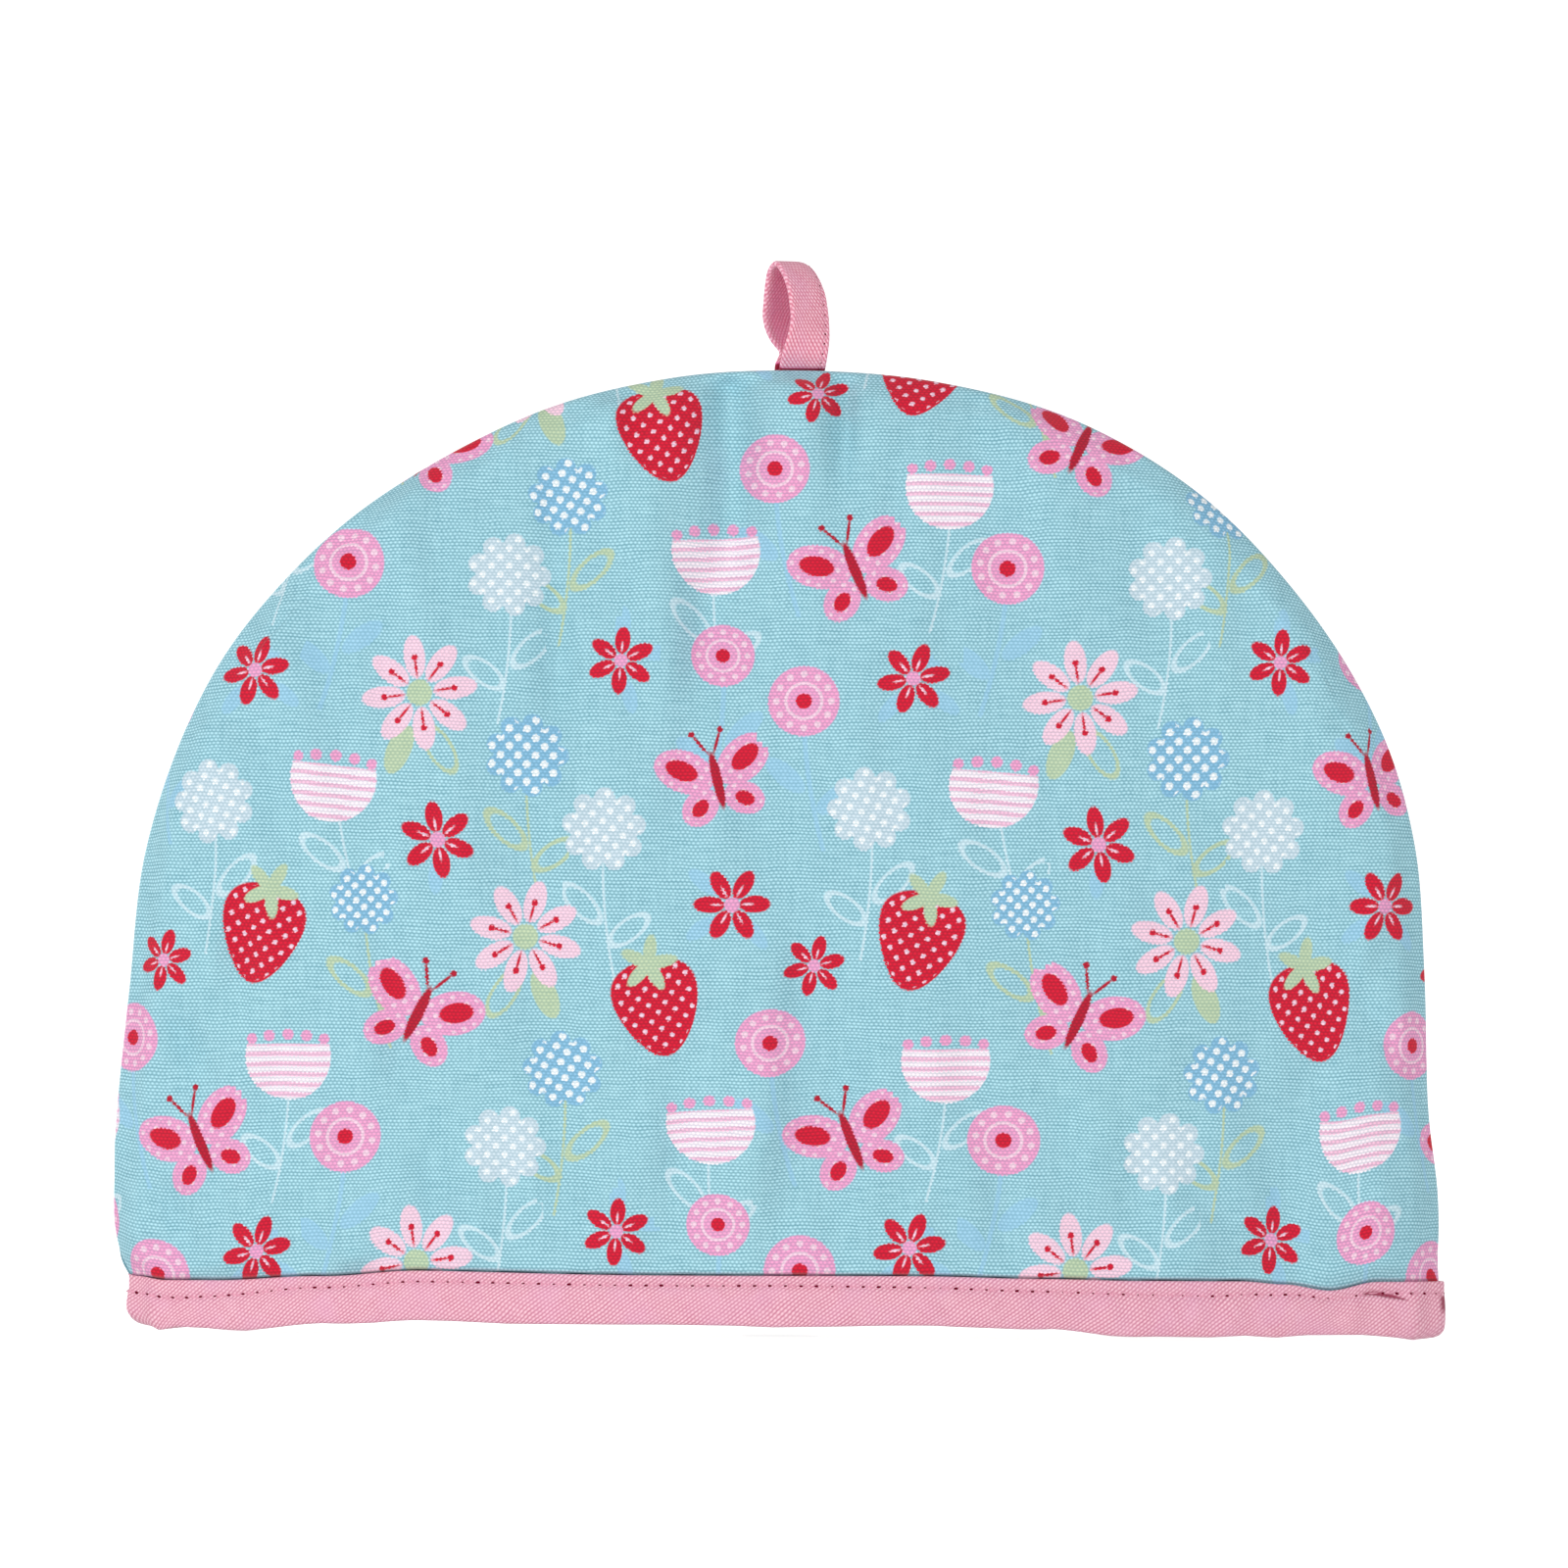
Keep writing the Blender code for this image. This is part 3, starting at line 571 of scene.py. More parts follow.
def make_mesh(name, grids):
    """Welds grids of (points, flat cloth places, material number) into one closed mesh.

    Returns its object, with the cloth's places in a UV map, and the faces' materials.
    """
    points, flat, faces, slots, count = [], [], [], [], 0
    for place, cloth, slot in grids:
        quads = grid_faces(*place.shape[:2], count)
        count += place.shape[0] * place.shape[1]
        points.append(place.reshape(-1, 3))
        flat.append(cloth.reshape(-1, 2))
        faces.append(quads)
        slots.append(np.full(len(quads), slot))
    points, flat, faces = np.concatenate(points), np.concatenate(flat), np.concatenate(faces)
    data = bpy.data.meshes.new(name)
    data.from_pydata(points, [], faces)
    data.polygons.foreach_set("material_index", np.concatenate(slots))
    data.polygons.foreach_set("use_smooth", np.ones(len(faces), dtype=bool))
    layer = data.uv_layers.new(name="cloth")
    layer.uv.foreach_set("vector", flat[faces.ravel()].ravel())
    return add_object(name, data), flat[faces], np.concatenate(slots)


def weld(thing):
    """Closes a mesh where its grids meet, and turns its faces outwards."""
    mesh = bmesh.new()
    mesh.from_mesh(thing.data)
    bmesh.ops.remove_doubles(mesh, verts=mesh.verts, dist=0.01 * MM)
    bmesh.ops.recalc_face_normals(mesh, faces=mesh.faces)
    mesh.to_mesh(thing.data)
    mesh.free()


def spread(field, passes):
    """Smooths a grid of vectors, all but its edges."""
    field = field.copy()
    for _ in range(passes):
        beside = field[:-2, 1:-1] + field[2:, 1:-1] + field[1:-1, :-2] + field[1:-1, 2:]
        field[1:-1, 1:-1] = field[1:-1, 1:-1] / 2 + beside / 8
    return field


def gather(outer, side):
    """How far the points of a panel's patch move as its cloth gathers, by simulation."""
    coarse = outer[::CLOTH_SKIP, ::CLOTH_SKIP]
    data = bpy.data.meshes.new("sheet")
    data.from_pydata(coarse.reshape(-1, 3) * CLOTH_SCALE, [], grid_faces(*coarse.shape[:2], 0))
    sheet = add_object("sheet", data)
    edge = np.ones(coarse.shape[:2], dtype=bool)
    edge[1:-1, 1:-1] = False
    held = sheet.vertex_groups.new(name="held")
    held.add(np.flatnonzero(edge).tolist(), 1.0, "REPLACE")
    simulation = sheet.modifiers.new("cloth", "CLOTH")
    simulation.collision_settings.use_collision = False
    simulation.point_cache.frame_start, simulation.point_cache.frame_end = 1, CLOTH_FRAMES
    cloth = simulation.settings
    cloth.mass, cloth.air_damping = 0.3, 2.0
    cloth.tension_stiffness = cloth.compression_stiffness = 20.0
    cloth.shear_stiffness, cloth.bending_stiffness = 7.0, 5.0
    cloth.tension_damping = cloth.compression_damping = cloth.shear_damping = 5.0
    cloth.shrink_min = cloth.shrink_max = -CLOTH_FULLNESS
    cloth.use_pressure = True
    cloth.uniform_pressure_force = CLOTH_PRESSURE if side == "front" else -CLOTH_PRESSURE
    cloth.effector_weights.gravity = 0.0
    cloth.vertex_group_mass = held.name
    for frame in range(1, CLOTH_FRAMES + 1):
        bpy.context.scene.frame_set(frame)
    settled = sheet.evaluated_get(bpy.context.evaluated_depsgraph_get()).to_mesh()
    points = np.empty(coarse.size)
    settled.vertices.foreach_get("co", points)
    bpy.data.objects.remove(sheet)
    bpy.context.scene.frame_set(1)
    moved = points.reshape(coarse.shape) / CLOTH_SCALE - coarse
    moved[edge] = 0.0
    moved -= spread(moved, GATHER_PASSES)
    length = np.maximum(np.linalg.norm(moved, axis=-1, keepdims=True), 1e-9)
    moved *= GATHER_LIMIT * np.tanh(length / GATHER_LIMIT) / length
    for _ in range(2):  # back to every point of the patch: along its columns, then its rows
        finer = np.repeat(moved, CLOTH_SKIP, axis=0)[:-1]
        finer[1::2] = (moved[:-1] + moved[1:]) / 2
        moved = finer.swapaxes(0, 1)
    return spread(moved, 1)


def make_panel(side):
    """One padded panel, with its print's places stored on its faces."""
    grids = panel_grids()
    skin = [skins(places, side) for places in grids]
    patch = skin[-1][0]
    patch += gather(patch, side)
    cloth = cloth_places(grids, [outer for outer, inner in skin])
    facing = 1.0 if side == "front" else -1.0
    cloth = [flat * (facing, 1.0) + np.array(PRINT_SHIFTS[side]) * MM for flat in cloth]
    parts = [(outer, flat, 0) for (outer, inner), flat in zip(skin, cloth)]
    parts += [(inner, flat, 1) for (outer, inner), flat in zip(skin, cloth)]
    parts.append((np.stack([skin[0][0][0], skin[0][1][0]]), np.stack([cloth[0][0]] * 2), 1))
    panel, corners, slots = make_mesh("padded_" + side, parts)
    printed = corners[slots == 0] / MM
    for layer, table, reach, drop in (
        ("motif", MOTIFS, MOTIF_REACH, 0.0),
        ("greenery", GREENERY, GREENERY_REACH, GREENERY_DROP),
    ):
        kinds, places = lay_print(printed, table, reach, drop)
        plain = len(slots) - len(kinds)
        store(panel, layer + "_kind", np.pad(kinds, (0, plain)), "FACE")
        places = np.pad(places, ((0, plain), (0, 0), (0, 0))).ravel()
        panel.data.uv_layers.new(name=layer).uv.foreach_set("vector", places)
    x, z = np.concatenate([places[..., [OUTER_X, OUTER_Z]].reshape(-1, 2) for places in grids]).T
    # A line of painted shade where the cloth goes down behind the binding, stored as shade.
    mean, waver = TUCK_SHADES
    tuck_shade = (1 - smooth(z, *TUCK)) * (1 - TUCK_EASE * smooth(x, *TUCK_END))
    tuck_shade *= np.clip(mean + waver * waves(x, side, PUCKER_LENGTHS), 0.0, 1.0)
    store(panel, "shade", np.pad(tuck_shade, (0, len(panel.data.vertices) - len(tuck_shade))))
    weld(panel)
    return panel


class Ink:
    """A socket in a material. Arithmetic on it adds Math nodes, and add() adds any other node."""

    def __init__(self, tree, socket=None):
        self.tree, self.socket = tree, socket

    def add(self, kind, settings=None, sockets=None, output=0):
        """A node with its settings and then its sockets' values or links; gives one output."""
        node = self.tree.nodes.new(kind)
        for name, value in (settings or {}).items():
            setattr(node, name, value)
        for key, value in (sockets or {}).items():
            if isinstance(value, Ink):
                self.tree.links.new(value.socket, node.inputs[key])
            else:
                node.inputs[key].default_value = value
        return Ink(self.tree, node.outputs[output])

    def value(self, name):
        """A value stored on the mesh."""
        return self.add("ShaderNodeAttribute", {"attribute_name": name}, None, 2)

    def maths(self, operation, *values, clamp=False):
        settings = {"operation": operation, "use_clamp": clamp}
        return self.add("ShaderNodeMath", settings, dict(enumerate(values)))

    def vector(self, operation, *values, output=0):
        settings = {"operation": operation}
        return self.add("ShaderNodeVectorMath", settings, dict(enumerate(values)), output)

    def __add__(self, other):
        return self.maths("ADD", self, other)

    __radd__ = __add__

    def __sub__(self, other):
        return self.maths("SUBTRACT", self, other)

    def __rsub__(self, other):
        return self.maths("SUBTRACT", other, self)

    def __mul__(self, other):
        return self.maths("MULTIPLY", self, other)

    __rmul__ = __mul__

    def __abs__(self):
        return self.maths("ABSOLUTE", self)

    def least(self, other):
        return self.maths("MINIMUM", self, other)

    def most(self, other):
        return self.maths("MAXIMUM", self, other)

    def cosine(self):
        return self.maths("COSINE", self)

    def parts(self):
        """A vector's x and y."""
        node = self.add("ShaderNodeSeparateXYZ", None, {0: self}).socket.node
        return Ink(self.tree, node.outputs[0]), Ink(self.tree, node.outputs[1])

    def place(self, x, y):
        return self.add("ShaderNodeCombineXYZ", None, {0: x, 1: y})

    def turned(self, degrees, middle=(0.0, 0.0)):
        settings = {"rotation_type": "Z_AXIS"}
        sockets = {"Vector": self, "Center": (*middle, 0.0), "Angle": -math.radians(degrees)}
        return self.add("ShaderNodeVectorRotate", settings, sockets)

    def length(self):
        return self.vector("LENGTH", self, output=1)

    def feeds(self, socket):
        self.tree.links.new(self.socket, socket)

    def outside(self, middle, radii, degrees=0.0):
        """How far a place is outside an ellipse; below 0 inside it."""
        place = self.turned(degrees, middle) if degrees else self
        place = place.vector("SUBTRACT", place, (*middle, 0.0))
        place = place.vector("DIVIDE", place, (*radii, 1.0))
        return self.maths("MULTIPLY_ADD", place.length(), min(radii), -min(radii))

    def ellipses(self, *rows):
        """How far a place is outside the nearest of some ellipses: middle, radii, degrees."""
        found = self.outside(*rows[0])
        for row in rows[1:]:
            found = found.least(self.outside(*row))
        return found

    def petals(self, count):
        """The place folded round the middle, so that one petal along x stands for count."""
        x, y = self.parts()
        turn = self.maths("ARCTAN2", y, x)
        share = self.maths("FRACT", self.maths("MULTIPLY_ADD", turn, count / (2 * math.pi), 0.5))
        angle = self.maths("MULTIPLY_ADD", share, 2 * math.pi / count, -math.pi / count)
        return self.place(self.length() * angle.cosine(), self.length() * self.maths("SINE", angle))

    def cover(self, soft=0.28):
        """How much of a place a shape covers, from its distance outside the shape."""
        return self.maths("MULTIPLY_ADD", self, -1.0 / soft, 0.5, clamp=True)

    def paint(self, cover, colour, mode="MIX"):
        """This colour with another laid over it."""
        settings = {"data_type": "RGBA", "blend_type": mode}
        return self.add("ShaderNodeMix", settings, {0: cover, 6: self, 7: colour}, 2)

    def between(self, low, high):
        """The colour from low to high at this share."""
        return self.add("ShaderNodeMix", {"data_type": "RGBA"}, {0: self, 6: low, 7: high}, 2)


def dye(red, green, blue):
    """A colour from its display values, 0 to 255, as a socket wants it."""
    values = [v / 255 for v in (red, green, blue)]
    linear = [v / 12.92 if v < 0.04045 else ((v + 0.055) / 1.055) ** 2.4 for v in values]
    return (*linear, 1.0)


def new_finish(name, roughness, sheen=0.0):
    """A cloth material: its data, its node tree as Ink, and its shader."""
    finish = bpy.data.materials.new(name)
    finish.use_nodes = True
    shader = finish.node_tree.nodes["Principled BSDF"]
    shader.inputs["Roughness"].default_value = roughness
    shader.inputs["Sheen Weight"].default_value = sheen
    shader.inputs["Specular IOR Level"].default_value = 0.25
    return finish, Ink(finish.node_tree), shader


def cloth_place(ink):
    """A spot's place on the flat cloth, in mm."""
    place = ink.add("ShaderNodeUVMap", {"uv_map": "cloth"})
    return ink.add("ShaderNodeVectorMath", {"operation": "SCALE"}, {0: place, "Scale": 1 / MM})


def finish_cloth(shader, colour, raised, strength, relief):
    """Gives a material its colour, and its relief from how raised each spot is."""
    colour.feeds(shader.inputs["Base Color"])
    sockets = {"Strength": strength, "Distance": relief, "Height": raised}
    raised.add("ShaderNodeBump", None, sockets).feeds(shader.inputs["Normal"])


def noise(ink, place, scale, detail=1.0):
    """Soft random values, 0 to 1, with about scale lumps to a unit of the place."""
    sockets = {"Vector": place, "Scale": scale, "Detail": detail}
    return ink.add("ShaderNodeTexNoise", {"noise_dimensions": "2D"}, sockets)


def weave(ink, place, warp, weft, checker=0.32, ribs=0.25, slub=0.34, stripe=0.2):
    """Plain weave on a place in mm, with threads this far apart: how raised each spot is, 0 to 1.

    checker is the share of the crossing threads and ribs of the rows; slub and stripe are how
    uneven the weft's and the warp's threads are.
    """
    drift = noise(ink, place, 0.11) * 0.8
    x, y = place.parts()
    x, y = x + drift, y + drift
    crossing = (x * (math.pi / warp)).cosine() * (y * (math.pi / weft)).cosine()
    round_row = (y * (2 * math.pi / weft)).cosine()
    slubs = noise(ink, ink.place(x * 0.13, y * (1.7 / weft)), 1.0)
    stripes = noise(ink, ink.place(x * (0.8 / warp), y * 0.1), 1.0)
    uneven = slubs * slub + stripes * stripe
    return crossing * checker + round_row * ribs + uneven + (0.5 - (slub + stripe) / 2)


CANVAS_WARP, CANVAS_WEFT = 0.566, 0.885  # mm between threads
LINING_THREADS = (0.42, 0.5)
CANVAS_RELIEF, LINING_RELIEF = (0.5, 0.08 * MM), (0.4, 0.06 * MM)  # strength, depth
PRINT_STEP = 0.34  # mm: how far the edges of the print stray with the threads
FADE, FADE_LUMPS = 0.5, 0.012  # how much the ground fades in places, and how many lumps to a mm
# The weave's gaps are tinted darker and its crowns lighter: partly the cloth's own tone, partly
# painted shade and painted highlight.
GAP_TINT, THREAD_TINT = (0.29, 0.48, 0.53, 1.0), (1.42, 1.32, 1.28, 1.0)
INK_FILLS = 0.42  # the share of the weave's shade that the inks fill up
INKS = {
    "ground": dye(160, 206, 219),
    "faded_ground": dye(176, 222, 226),
    # painted shade, for the line where the cloth goes down behind the binding
    "painted_shade": dye(26, 24, 50),
    "red": dye(206, 8, 47),
    "deep_red": dye(178, 10, 44),
    "pink": dye(232, 158, 199),
    "pale_pink": dye(243, 203, 221),
    "blush": dye(237, 188, 213),
    "milk": dye(245, 232, 241),
    "white": dye(236, 242, 246),
    "blue": dye(131, 184, 215),
    "faint_blue": dye(153, 201, 225),
    "pale_blue": dye(196, 215, 226),
    "white_line": dye(198, 224, 234),
    "green": dye(184, 204, 172),
}
DOT_PITCH = 2.75  # mm, in the dotted motifs


def motif_shapes(spot):
    """Each motif's shapes in mm from the bottom layer up, as (distance outside it, ink)."""
    x, y = spot.parts()
    half = spot.place(abs(x), y)
    # Dots on a slanting square net, shifted far enough to count upwards all over a motif.
    lattice = spot.vector("DIVIDE", spot.turned(45), (DOT_PITCH, DOT_PITCH, 1.0))
    lattice = spot.vector("FRACTION", spot.vector("ADD", lattice, (40.0, 40.0, 0.0)))
    dots = spot.vector("SUBTRACT", lattice, (0.5, 0.5, 0.0)).length() * DOT_PITCH
    middle = spot.length()

    six, eight, nine, twelve = [spot.petals(count) for count in (6, 8, 9, 12)]
    wings = half.ellipses(((7.7, 4.3), (8.0, 5.4), 32), ((5.7, -5.6), (5.4, 4.2), -38))
    patches = half.ellipses(((8.3, 4.7), (4.3, 2.5), 32), ((5.8, -5.8), (2.6, 1.8), -38))
    feelers = half.ellipses(((2.1, 10.2), (3.3, 0.4), 62), ((3.7, 13.2), (0.8, 0.8)))
    beads = [((0.0, 4.4), (1.3, 1.3)), ((4.3, 4.1), (1.3, 1.3)), ((8.3, 3.4), (1.2, 1.2))]
    bowl = spot.outside((0.0, -0.6), (9.8, 9.8)).most(y - 2.2)
    puff = (middle - 7.3).least(nine.outside((7.0, 0.0), (2.3, 2.3)))
    stamens = eight.ellipses(((6.0, 0.0), (2.2, 0.33)), ((8.2, 0.0), (0.75, 0.75)))
    berry = spot.place(x * (1.0 - y * 0.034), y).outside((0.0, -1.0), (9.4, 11.4))
    cap = spot.vector("SUBTRACT", spot, (0.0, 9.4, 0.0)).petals(5)
    return {
        "blossom": [
            (six.outside((5.7, 0.0), (3.9, 2.15)), "red"),
            (six.outside((3.9, 0.0), (1.3, 0.3)), "pale_pink"),
            (middle - 1.9, "pink"),
        ],
        "butterfly": [
            (feelers, "deep_red"),
            (wings, "pink"),
            ((wings + 0.5).most(dots - 0.6), "pale_pink"),
            (patches, "red"),
            (half.outside((0.0, 0.4), (1.3, 7.6)), "deep_red"),
        ],
        "button": [
            (middle - 9.0, "pink"),
            (twelve.outside((6.9, 0.0), (0.85, 0.85)), "pale_pink"),
            (abs(middle - 4.5) - 0.4, "pale_pink"),
            (middle - 2.0, "red"),
        ],
        "cup": [
            (half.ellipses(*beads), "pink"),
            (bowl, "milk"),
            (bowl.most(0.25 - (y * (2 * math.pi / 2.3)).cosine()), "blush"),
        ],
        "daisy": [
            (eight.outside((8.4, 0.0), (5.0, 2.55)), "pale_pink"),
            (stamens, "red"),
            (middle - 3.0, "green"),
        ],
        "blue_puff": [(puff, "blue"), ((puff + 0.4).most(dots - 0.85), "white")],
        "white_puff": [(puff, "pale_blue"), ((puff + 0.4).most(dots - 0.72), "white")],
        "strawberry": [
            (berry, "red"),
            ((berry + 0.6).most(dots - 0.55), "pale_pink"),
            (cap.outside((3.1, 0.0), (3.6, 1.5)), "green"),
            (spot.outside((0.7, 12.6), (0.45, 2.6), -14), "green"),
        ],
    }


def greenery_shapes(spot):
    """The same for the stems and leaves that lie under the motifs."""
    x, y = spot.parts()
    stem = (abs(x - y * y * 0.0034) - 0.32).most(y + 5.0).most(-39.0 - y)
    leaves = spot.ellipses(((-4.6, -19.5), (6.4, 2.7), -42), ((8.0, -25.5), (5.8, 2.6), 40))
    tuft = spot.ellipses(
        ((9.0, 3.0), (4.8, 2.1), 18), ((5.4, -8.6), (4.6, 2.0), -58), ((-8.2, -5.2), (4.4, 1.9), 32)
    )
    leaf = spot.outside((-5.0, -15.0), (6.8, 3.1), 68)
    loop = spot.outside((5.6, -14.6), (6.6, 3.0), -58)
    return {
        "blue_tuft": [(tuft, "faint_blue")],
        "blue_stem": [((stem - 0.3).least(leaves), "faint_blue")],
        "white_stem": [(stem.least(abs(leaves) - 0.42), "white_line")],
        "green_stem": [(stem.least(abs(leaves) - 0.5), "green")],
        "green_leaves": [(leaf, "green"), (abs(loop) - 0.4, "green")],
    }


def make_canvas():
    """Printed cotton canvas: inks on a plain weave whose gaps are darker, partly painted shade."""
    finish, ink, shader = new_finish("printed_cotton_canvas", 0.86, 0.15)
    cloth = cloth_place(ink)
    raised = weave(ink, cloth, CANVAS_WARP, CANVAS_WEFT)
    step = raised * PRINT_STEP
    colour = ink.add("ShaderNodeRGB")
    colour.socket.default_value = INKS["ground"]
    fade = noise(ink, cloth, FADE_LUMPS, 3.0)
    colour = colour.paint((fade - 0.5) * FADE, INKS["faded_ground"])
    filled = 0.0
    for layer, table, shapes in (
        ("greenery", GREENERY, greenery_shapes),
        ("motif", MOTIFS, motif_shapes),
    ):
        kind = ink.value(layer + "_kind")
        spot = ink.add("ShaderNodeUVMap", {"uv_map": layer})
        drawn = shapes(ink.vector("ADD", spot, ink.place(step, step)))
        for number, name in enumerate(table, 1):
            chosen = ink.maths("COMPARE", kind, number, 0.5)
            for away, paint in drawn[name]:
                laid = away.cover() * chosen
                colour = colour.paint(laid, INKS[paint])
                filled = laid.most(filled)
    # Darker gaps and lighter crowns: partly the cloth's own tone, partly painted shade and
    # highlight.
    tint = raised.between(GAP_TINT, THREAD_TINT)
    colour = colour.paint(1.0 - filled * INK_FILLS, tint, "MULTIPLY")
    # Painted shade: the dark line where the cloth goes down behind the binding.
    colour = colour.paint(ink.value("shade"), INKS["painted_shade"])
    finish_cloth(shader, colour, raised, *CANVAS_RELIEF)
    return finish


def make_lining():
    """Plain cotton lining, finer than the canvas."""
    finish, ink, shader = new_finish("plain_cotton_lining", 0.9)
    raised = weave(ink, cloth_place(ink), *LINING_THREADS)
    # Darker gaps and lighter crowns: partly the cloth's own tone, partly painted shade and
    # highlight.
    colour = raised.between(dye(214, 205, 190), dye(246, 240, 228))
    finish_cloth(shader, colour, raised, *LINING_RELIEF)
    return finish


canvas, lining = make_canvas(), make_lining()
for side in ("front", "back"):
    panel = make_panel(side)
    panel.data.materials.append(canvas)
    panel.data.materials.append(lining)
    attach(panel, "root")
    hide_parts(side + "_panel")

# Seam thread. The machine seam that joins the two panels runs deep in the groove between their
# rolled edges, as one line of cotton thread in a teal darker than the print's ground.
SEAM_THREAD, SEAM_SIDES = 0.5 * MM, 8  # its radius and how many sides it is drawn with
SEAM_SKIP = 4  # every fourth point of the outline
SEAM_SINK = 0.05 * MM  # how far it lies below the seam line
THREAD_RELIEF = (0.4, 0.05 * MM)  # strength, depth
TWIST_SCALE, TWIST_SHADE = 900.0, 0.72  # how fine the twist is, and how dark the painted shade in its hollows


def make_thread(name, base, shine=0.25):
    """Spun cotton thread: its twist shows as slanting ridges, with painted shade in the hollows."""
    finish, ink, shader = new_finish(name, 0.85, 0.4 * shine)
    shader.inputs["Specular IOR Level"].default_value = shine
    place = ink.add("ShaderNodeTexCoord", None, None, 3)
    sockets = {"Vector": place, "Scale": TWIST_SCALE, "Distortion": 1.5}
    twist = ink.add("ShaderNodeTexWave", {"bands_direction": "DIAGONAL"}, sockets, 1)
    dark = (*[TWIST_SHADE * v for v in base[:3]], 1.0)
    finish_cloth(shader, twist.between(dark, base), twist, *THREAD_RELIEF)
    return finish


def cloth_grid(across, up):
    """Places on the flat cloth, from distances across and up it that make a grid together."""
    return np.stack(np.broadcast_arrays(across, up), axis=-1)


seam_line, seam_inward = OUTLINE[::SEAM_SKIP], INWARD[::SEAM_SKIP]
seam_inset = SEAM_GROOVE * smooth(seam_line[:, 1:], HEM_TOP, HEM_TOP + GROOVE_RISE)
seam_middle = seam_line + seam_inward * (seam_inset + SEAM_THREAD + SEAM_SINK)
seam_turns = np.linspace(0, 2 * math.pi, SEAM_SIDES + 1)
seam_reach = seam_inward[:, None] * (SEAM_THREAD * np.cos(seam_turns))[:, None]
seam_y = np.broadcast_to(SEAM_THREAD * np.sin(seam_turns), seam_reach.shape[:2])
seam_points = np.insert(seam_middle[:, None] + seam_reach, 1, seam_y, axis=2)
seam_cloth = cloth_grid(DISTANCE[::SEAM_SKIP, None], SEAM_THREAD * seam_turns)
seam = make_mesh("seam_thread", [(seam_points, seam_cloth, 0)])[0]
weld(seam)
seam.data.materials.append(make_thread("ground_thread", dye(128, 176, 190)))
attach(seam, "root")

# Hem binding. One strip of plain pink cotton canvas, cut on the bias and folded over the raw hem
# of both panels, front to inside. Its turned-in edge is topstitched through all the layers, and
# the strip's two ends lap at the right, where the upper one sinks into a small pleat.
BINDING_CORNER = 1.0 * MM  # radius of its lower edges
BINDING_FOLD = 0.4 * MM  # radius of its folded upper edges
TIP_REACH = (157.0 * MM, 168.0 * MM)  # its ends start and are full so far from the middle
LEFT_TIP_CORNER, RIGHT_TIP_CORNER = 4.2 * MM, 2.8 * MM  # radius of the ends' lower corners
LEFT_TIP_TRIM = 1.0 * MM  # how much closer the left end lies
NOSE_LENGTH = 45.0 * MM  # over which its inside is drawn to where the linings meet
BINDING_COLUMNS = 330
BINDING_LEAST = 0.4 * MM  # its outside comes no closer to the panels
BINDING_BELLY = 0.45 * MM  # how far the strip stands off between its fold and its stitching
BELLY_POWER, BELLY_WAVES = 0.7, 0.3  # how full it is, and how much the gathers vary it
BINDING_GATHERS = (7.9 * MM, 11.7 * MM, 17.0 * MM)
FURROW, FURROW_WIDTH = 0.5 * MM, 0.85 * MM  # the stitching pulls the strip in
FURROW_MOST = 0.6  # of the strip's thickness
LOWER_FOLD_FADE = 7.0 * MM  # the height up to which the lower fold is off the hem's arch
# Its cloth.
BIAS, BIAS_WEAVE = 40.4, 0.86  # degrees from the strip's length, mm between its weft's threads
MOTTLE, MOTTLE_LUMPS, MOTTLE_DYE = 0.8, 0.09, dye(226, 164, 200)  # how much, and lumps to a mm
PAINTED_SEAM_SHADE = dye(150, 16, 48)  # painted shade where pink canvas goes down into a seam
# The pleat at the lap.
PLEAT_FROM, PLEAT_TO = 147.5 * MM, 162.5 * MM
PLEAT_ENDS = (5.0 * MM, 6.0 * MM)  # over which it comes in and runs out
PLEAT_DROP = (2.7 * MM, 5.2 * MM)  # how far below the top edge it starts and ends
PLEAT_DEPTH = 1.3 * MM
PLEAT_STEP = 0.2 * MM  # half the height of the step that makes it
PLEAT_FADE = 1.6  # mm above the step over which the strip comes out again
PLEAT_GAPE = 1.2 * MM  # how far the strip's edge opens there, with painted shade in the gap
# How dark the painted shade is in the pleat's gap and in the folded end.
GAPE_SHADE, END_SHADE = 0.9, 0.85
# Where the strip's folded end shows its inside, painted in shade, at the right-hand tip.
END_TIP = (168.5 * MM, 169.0 * MM)
END_LOW, END_HIGH = (6.2 * MM, 7.6 * MM), (9.8 * MM, 10.6 * MM)
# The heights of its rings: outside, on its two inner faces against the panels, and inside.
OUTER_HEIGHTS = np.concatenate([
    [0.0, 0.13, 0.5, 1.0, 1.7, 2.6, 3.6, 4.8, 6.0, 7.0],
    np.arange(7.6, 13.05, 0.2),
    [13.2, 13.4, 13.53, 13.6],
]) * MM
HIDDEN_HEIGHTS = [BINDING_HEIGHT, BINDING_HEIGHT - BINDING_FOLD, BINDING_HEIGHT / 2, BINDING_CLOTH]
INNER_HEIGHTS = np.array([
    13.6, 13.45, 13.2, 12.0, 11.0, 10.4, 9.8, 8.0, 5.0, 2.0, 1.0, 0.4, 0.0,
]) * MM

# How far the lower fold is off the hem's arch. columns: x, lift
LOWER_FOLD_MM = [
    (-172, 0.9), (-161, 0.1), (-155, 1.4), (-147, 1.2), (-137, 0.3), (-130, 0.5), (-117, 1.2),
    (-104, 0.4), (-84, 0.3), (-70, 0.0), (-50, 0.4), (-30, 0.6), (-12, 0.4), (-2, 0.0),
    (14, 0.2), (27, 0.5), (45, 0.6), (56, 1.2), (70, 1.7), (84, 1.2), (96, 1.4), (110, 1.2),
    (119, 1.6), (127, 1.1), (135, 1.7), (150, 1.7), (158, 1.0), (165, 0.3), (172, 0.9),
]
